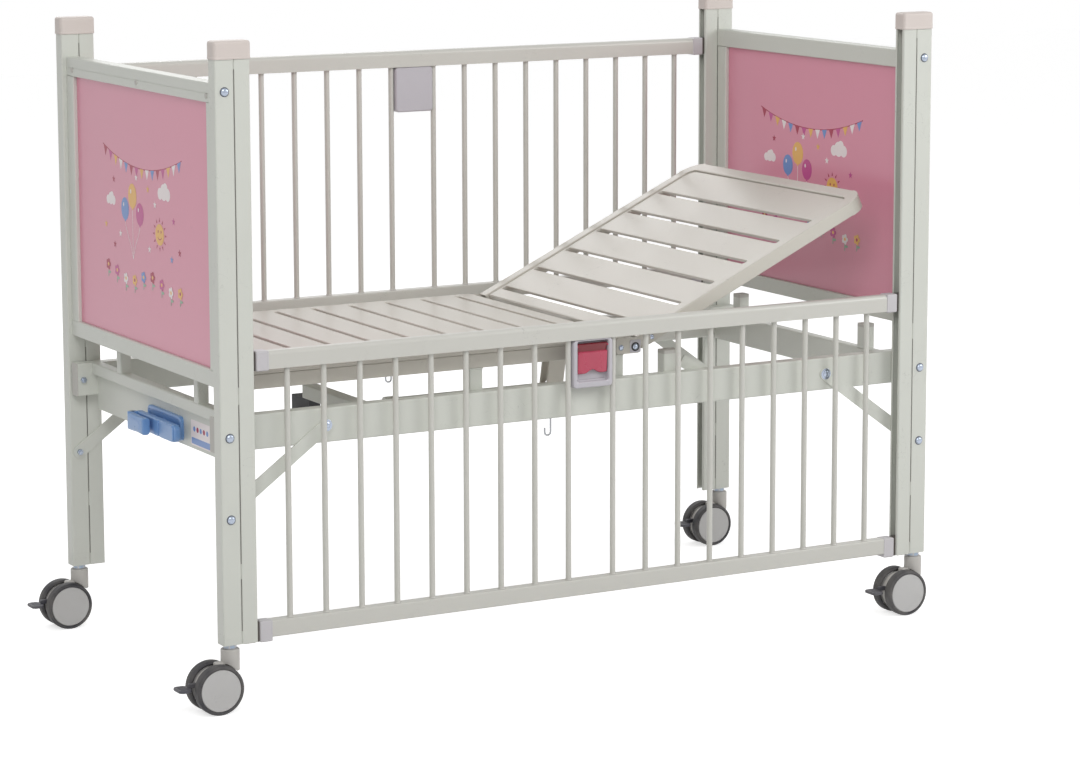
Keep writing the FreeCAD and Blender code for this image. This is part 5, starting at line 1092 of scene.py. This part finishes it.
def wheel_pair(corner, axle):
    """Two treads and their plain discs."""
    lip, disc_radius = 0.0426, 0.0425
    tyres, discs = bmesh.new(), bmesh.new()
    for side in (-1, 1):
        out = axle @ Matrix.Rotation(-side * math.pi / 2, 4, "X") @ Matrix.Translation((0, 0, 0.0105))
        tread = [(lip, 0.0015), (0.0445, 0.0), *arc(0.0445, 0.0055, 0.0055, -90, 0),
                 *arc(0.0445, 0.0180, 0.0055, 0, 90), (0.0430, 0.0230), (lip, 0.0215)]
        put(tyres, turned(tread, steps=72, closed=True), out)
        disc = [(0.0, 0.0020), (0.0100, 0.0020), (0.0400, 0.0035), (disc_radius, 0.0045),
                (disc_radius, 0.0205), (0.0418, 0.0222), (0.0402, 0.0229), (0.0390, 0.0229), (0.0384, 0.0226),
                (0.0376, 0.0226), (0.0370, 0.0229), (0.0200, 0.0235), (0.0080, 0.0237), (0.0, 0.0238)]
        put(discs, turned(disc, steps=72), out)
    piece(f"tread_{corner}", tyres, ["tyre_grey"], f"wheels_{corner}",
          [f"caster_wheels_{corner}"])
    piece(f"wheel_disc_{corner}", discs, ["disc_grey"], f"wheels_{corner}")


def caster_shell(corner, home, axle_turned):
    """A pale hood between the wheels, the neck round the stem, and the axle."""
    half = 0.0088
    body = bmesh.new()
    hood = [(0.0, -half), (0.0400, -half), (0.0415, -0.0072), (0.0418, 0.0), (0.0415, 0.0072),
            (0.0400, half), (0.0, half)]
    put(body, turned(hood, steps=56), axle_turned, 1)
    put(body, block((-TRAIL, -half, 0.052), (0.0092, half, 0.1005), 0.004), home, 1)
    angles = [number / 48 * 2 * math.pi for number in range(48)]
    rings = []
    # the lowest ring follows the wheels
    for radius, height in ((0.0188, None), (0.0190, 0.1040), (0.0190, 0.1225), (0.0183, 0.1245),
                           (0.0165, 0.1256)):
        around = [(radius * math.cos(a), radius * math.sin(a)) for a in angles]
        rings.append([(u, v, height or min(neck_floor(u, v), 0.1038)) for u, v in around])
    put(body, lofted(rings), home, 1)
    put(body, turned(rod(0.004, 0.064, start=-0.032), steps=20), axle_turned, 2)
    piece(f"caster_shell_{corner}", body, ["caster_grey", "neck_grey", "screw_steel"], f"caster_{corner}",
          [f"caster_body_{corner}"])


def caster_pedal(corner, home, sideways):
    """A ribbed brake pedal with its stalk and the eye round its pin."""
    pedal = bmesh.new()
    put(pedal, plate(0.014, 0.021, 0.0095, 0.006, 0.0018), home @ Matrix.Translation((-0.102, 0.0, 0.051)))
    for v in (-0.012, -0.004, 0.004, 0.012):
        put(pedal, plate(0.0085, 0.0012, 0.0011, 0.0008, 0.0004, both=False),
            home @ Matrix.Translation((-0.103, v, 0.0568)))
    put(pedal, block((-0.091, -0.004, 0.0555), (-0.061, 0.004, 0.0646), 0.0012), home)
    eye = turned(rod(0.0065, 0.008, 0.0007, start=-0.004), steps=28)
    put(pedal, eye, home @ Matrix.Translation((-0.062, 0.0, 0.062)) @ sideways)
    piece(f"pedal_paddle_{corner}", pedal, ["caster_grey"], f"pedal_{corner}",
          [f"brake_pedal_{corner}"])


def casters():
    """Twin-wheel casters: dark treads, plain discs, pale hoods and necks, and dark pedals."""
    sideways = Matrix.Rotation(math.pi / 2, 4, "X")
    for corner, x, y in CORNERS:
        home = Matrix.Translation((x, y, 0.0))
        axle = Matrix.Translation((x - TRAIL, y, WHEEL_RADIUS))
        wheel_pair(corner, axle)
        caster_shell(corner, home, axle @ sideways)
        caster_pedal(corner, home, sideways)


def collars():
    """Blue collars over the caster stems, and the moulded feet of the posts."""
    half_long, half_wide = (POST_HIGH.x - POST_LOW.x) / 2, (POST_HIGH.y - POST_LOW.y) / 2
    bore, top = 0.0058, 0.1340
    ring = [(bore, STEM_FOOT), (0.0118, STEM_FOOT), (0.013, 0.1270), (0.013, 0.1332), (0.0124, top),
            (bore, top)]
    proud = ((-0.0022, 0.0), (-0.0006, 0.0012), (0.0003, 0.003), (0.0003, 0.0265), (-0.0002, 0.0275))
    rows = [(half_long + more, half_wide + more, 0.004, w) for more, w in proud]
    whole, feet = bmesh.new(), bmesh.new()
    for _, x, y in CORNERS:
        put(whole, turned(ring, steps=36, closed=True), Matrix.Translation((x, y, 0.0)))
        put(feet, stacked(rows), Matrix.Translation((x, y, POST_LOW.z + 0.0001)))
    piece("stem_collars", whole, ["collar_blue"], "frame")
    piece("post_feet", feet, ["frame_paint"], "frame")


def seams():
    """Strips of painted shade, broken by the welds, along the seams where the guides meet the posts."""
    half = bpy.context.scene.cot_sizes.seam / 2
    post_wide = POST_HIGH.y - POST_LOW.y
    whole = bmesh.new()
    for x in (POST_HIGH.x, box("post_head_left")[0].x):
        for y in (-SIDE_Y, SIDE_Y):
            for side in (-1, 1):
                for low, high in ((0.160, 0.265), (0.295, 0.612), (0.646, 1.265)):
                    put(whole, plate(half, (high - low) / 2, half * 0.9, 0.00025, 0.0001, both=False),
                        outwards(x, y + side * post_wide / 2, (low + high) / 2, side))
    # the strips take the dark brown finish as painted shade in the seams
    piece("guide_seams", whole, ["slider"], "frame")


def welds():
    """Beads where the platform's legs meet its tubes."""
    width, leg_half, leg_xs = bpy.context.scene.cot_sizes.weld, 0.015, (0.13975, -0.19425)
    leg_y, tube_low = box("deck_frame")[1].y - leg_half, box("deck_frame")[0].z
    sunk = -0.0003
    bead = ((sunk, -0.5), (0.0, -0.5), (width * 0.35, -0.25), (width * 0.4, 0.1), (0.0, 0.5), (sunk, 0.5))
    rows = [(leg_half + more, leg_half + more, 0.004, w * width) for more, w in bead]
    spots = [((x, side * leg_y, tube_low - 0.0005), (0.0, 0.0, 0.0)) for x in leg_xs for side in (-1, 1)]
    repeated("leg_weld_beads", stacked(rows, ends=False), "frame_paint", spots)


# ---------------------------------------------------------------- stage


def lamp(name, place, target, size, power):
    """A soft rectangular lamp aimed at a point."""
    light = bpy.data.lights.new(name, "AREA")
    light.shape = "RECTANGLE"
    light.size, light.size_y = size
    light.energy = power
    made = bpy.data.objects.new(name, light)
    bpy.context.scene.collection.objects.link(made)
    made.location = place
    made.rotation_euler = (Vector(target) - Vector(place)).to_track_quat("-Z", "Y").to_euler()


def seen_by_eye(tree):
    """1 where a ray comes from the camera, a reflection or glass."""
    path = add(tree, "ShaderNodeLightPath").outputs
    return sums(tree, "MAXIMUM", sums(tree, "MAXIMUM", path["Is Camera Ray"], path["Is Glossy Ray"]),
                path["Is Transmission Ray"])


def show_floor(look):
    """A pale floor that keeps the cot's shadow and looks white to the eye."""
    mesh = bpy.data.meshes.new("floor")
    reach = 14.0
    mesh.from_pydata([(-reach, -reach, 0), (reach, -reach, 0), (reach, reach, 0), (-reach, reach, 0)],
                     [], [(0, 1, 2, 3)])
    floor = bpy.data.objects.new("floor", mesh)
    bpy.context.scene.collection.objects.link(floor)
    pale = bpy.data.materials.new("Cot floor")
    pale.use_nodes = True
    tree = pale.node_tree
    shader = tree.nodes["Principled BSDF"]
    shader.inputs["Base Color"].default_value = (*look.floor, 1.0)
    shader.inputs["Roughness"].default_value = 0.9
    shader.inputs["Specular IOR Level"].default_value = 0.1
    glow = add(tree, "ShaderNodeEmission", Color=WHITE,
               Strength=sums(tree, "MULTIPLY", seen_by_eye(tree), look.glow))
    both = add(tree, "ShaderNodeAddShader", _0=shader.outputs[0], _1=glow.outputs[0])
    tree.links.new(both.outputs[0], tree.nodes["Material Output"].inputs["Surface"])
    mesh.materials.append(pale)


def show_room(look):
    """Soft light all round, and white where the eye looks past the floor."""
    world = bpy.data.worlds.new("Cot room")
    bpy.context.scene.world = world
    world.use_nodes = True
    tree = world.node_tree
    tree.nodes.clear()
    room = add(tree, "ShaderNodeBackground", Color=WHITE, Strength=look.sky)
    white = add(tree, "ShaderNodeBackground", Color=WHITE, Strength=1.0)
    mixed = add(tree, "ShaderNodeMixShader", _0=seen_by_eye(tree), _1=room.outputs[0], _2=white.outputs[0])
    add(tree, "ShaderNodeOutputWorld", Surface=mixed.outputs[0]).is_active_output = True


def show_camera(look):
    """The camera, which stands on the foot's left."""
    camera = bpy.data.cameras.new("camera")
    camera.sensor_width = 36.0
    camera.lens = look.lens
    camera.shift_y = -0.0736
    camera.clip_end = 100.0
    eye = bpy.data.objects.new("camera", camera)
    bpy.context.scene.collection.objects.link(eye)
    eye.location = (-3.39585, -6.3279, 1.7910)
    pitch, roll, yaw = -0.1499, 0.0021, -0.5112
    eye.rotation_euler = (math.pi / 2 + pitch, roll, yaw)
    bpy.context.scene.camera = eye


def stage():
    """Floor, white surroundings, lamps and camera."""
    look = bpy.context.scene.cot_stage
    bpy.context.scene.view_settings.view_transform = "Standard"
    show_floor(look)
    show_room(look)
    lamp("key", (-2.7, -4.0, 4.2), (0.0, 0.0, 0.6), (3.4, 2.6), look.key)
    lamp("fill", (3.6, -3.2, 2.6), (0.1, 0.0, 0.6), (2.8, 2.2), look.fill)
    lamp("back", (0.6, 4.0, 3.6), (0.0, 0.0, 0.6), (3.2, 2.0), look.fill * 0.7)
    show_camera(look)


# ---------------------------------------------------------------- operators


class COT_OT_stage(bpy.types.Operator):
    """Make the floor, the surroundings, the lamps and the camera"""

    bl_idname = "cot.stage"
    bl_label = "Stage"

    def execute(self, context):
        stage()
        return {"FINISHED"}


class COT_OT_frame_finishes(bpy.types.Operator):
    """Give the frame's parts their finishes"""

    bl_idname = "cot.frame_finishes"
    bl_label = "Frame finishes"

    def execute(self, context):
        frame_finishes()
        return {"FINISHED"}


class COT_OT_post_caps(bpy.types.Operator):
    """Make the post caps"""

    bl_idname = "cot.post_caps"
    bl_label = "Post caps"

    def execute(self, context):
        post_caps()
        return {"FINISHED"}


class COT_OT_frame_bolts(bpy.types.Operator):
    """Make the bolts, nuts and spacers of the frame"""

    bl_idname = "cot.frame_bolts"
    bl_label = "Bolts"

    def execute(self, context):
        frame_bolts()
        return {"FINISHED"}


class COT_OT_end_panels(bpy.types.Operator):
    """Make the end panels and their print"""

    bl_idname = "cot.end_panels"
    bl_label = "End panels"

    def execute(self, context):
        end_panels()
        return {"FINISHED"}


class COT_OT_platform(bpy.types.Operator):
    """Make the slatted sheets of the platform and their hinges"""

    bl_idname = "cot.platform"
    bl_label = "Platform sheets and hinges"

    def execute(self, context):
        deck_sheet()
        back_sheet()
        hinges()
        return {"FINISHED"}


class COT_OT_side_rails(bpy.types.Operator):
    """Make the bars, end blocks and latches of the side rails"""

    bl_idname = "cot.side_rails"
    bl_label = "Side rails"

    def execute(self, context):
        rail_bars()
        end_blocks()
        latches()
        return {"FINISHED"}


class COT_OT_crank(bpy.types.Operator):
    """Make the crank, its grip, its bezel and the card beside it"""

    bl_idname = "cot.crank"
    bl_label = "Crank"

    def execute(self, context):
        crank_bezel()
        crank_lever()
        crank_handgrip()
        crank_card()
        return {"FINISHED"}


class COT_OT_casters(bpy.types.Operator):
    """Make the casters, their collars and the feet of the posts"""

    bl_idname = "cot.casters"
    bl_label = "Casters"

    def execute(self, context):
        casters()
        collars()
        return {"FINISHED"}


class COT_OT_welds(bpy.types.Operator):
    """Make the weld beads under the platform and the painted shade strips along the guides' seams"""

    bl_idname = "cot.welds"
    bl_label = "Welds"

    def execute(self, context):
        welds()
        seams()
        return {"FINISHED"}


class COT_PT_panel(bpy.types.Panel):
    """Lists the steps that dress the cot"""

    bl_label = "Hospital cot"
    bl_idname = "COT_PT_panel"
    bl_space_type = "VIEW_3D"
    bl_region_type = "UI"
    bl_category = "Cot"

    def draw(self, context):
        for step in STEPS:
            self.layout.operator(step.bl_idname)


STEPS = (COT_OT_stage, COT_OT_frame_finishes, COT_OT_post_caps, COT_OT_frame_bolts, COT_OT_end_panels,
         COT_OT_platform, COT_OT_side_rails, COT_OT_crank, COT_OT_casters, COT_OT_welds)
GROUPS = (("cot_sizes", CotSizes), ("cot_colours", CotColours), ("cot_stage", CotStage))


def register():
    for name, group in GROUPS:
        bpy.utils.register_class(group)
        setattr(bpy.types.Scene, name, PointerProperty(type=group))
    for kind in (*STEPS, COT_PT_panel):
        bpy.utils.register_class(kind)


def unregister():
    for kind in (COT_PT_panel, *reversed(STEPS)):
        bpy.utils.unregister_class(kind)
    for name, group in reversed(GROUPS):
        delattr(bpy.types.Scene, name)
        bpy.utils.unregister_class(group)


def main():
    """Dress the cot."""
    register()
    bpy.ops.cot.stage()
    bpy.ops.cot.frame_finishes()
    bpy.ops.cot.post_caps()
    bpy.ops.cot.frame_bolts()
    bpy.ops.cot.end_panels()
    bpy.ops.cot.platform()
    bpy.ops.cot.side_rails()
    bpy.ops.cot.crank()
    bpy.ops.cot.casters()
    bpy.ops.cot.welds()


if __name__ == "__main__":
    main()
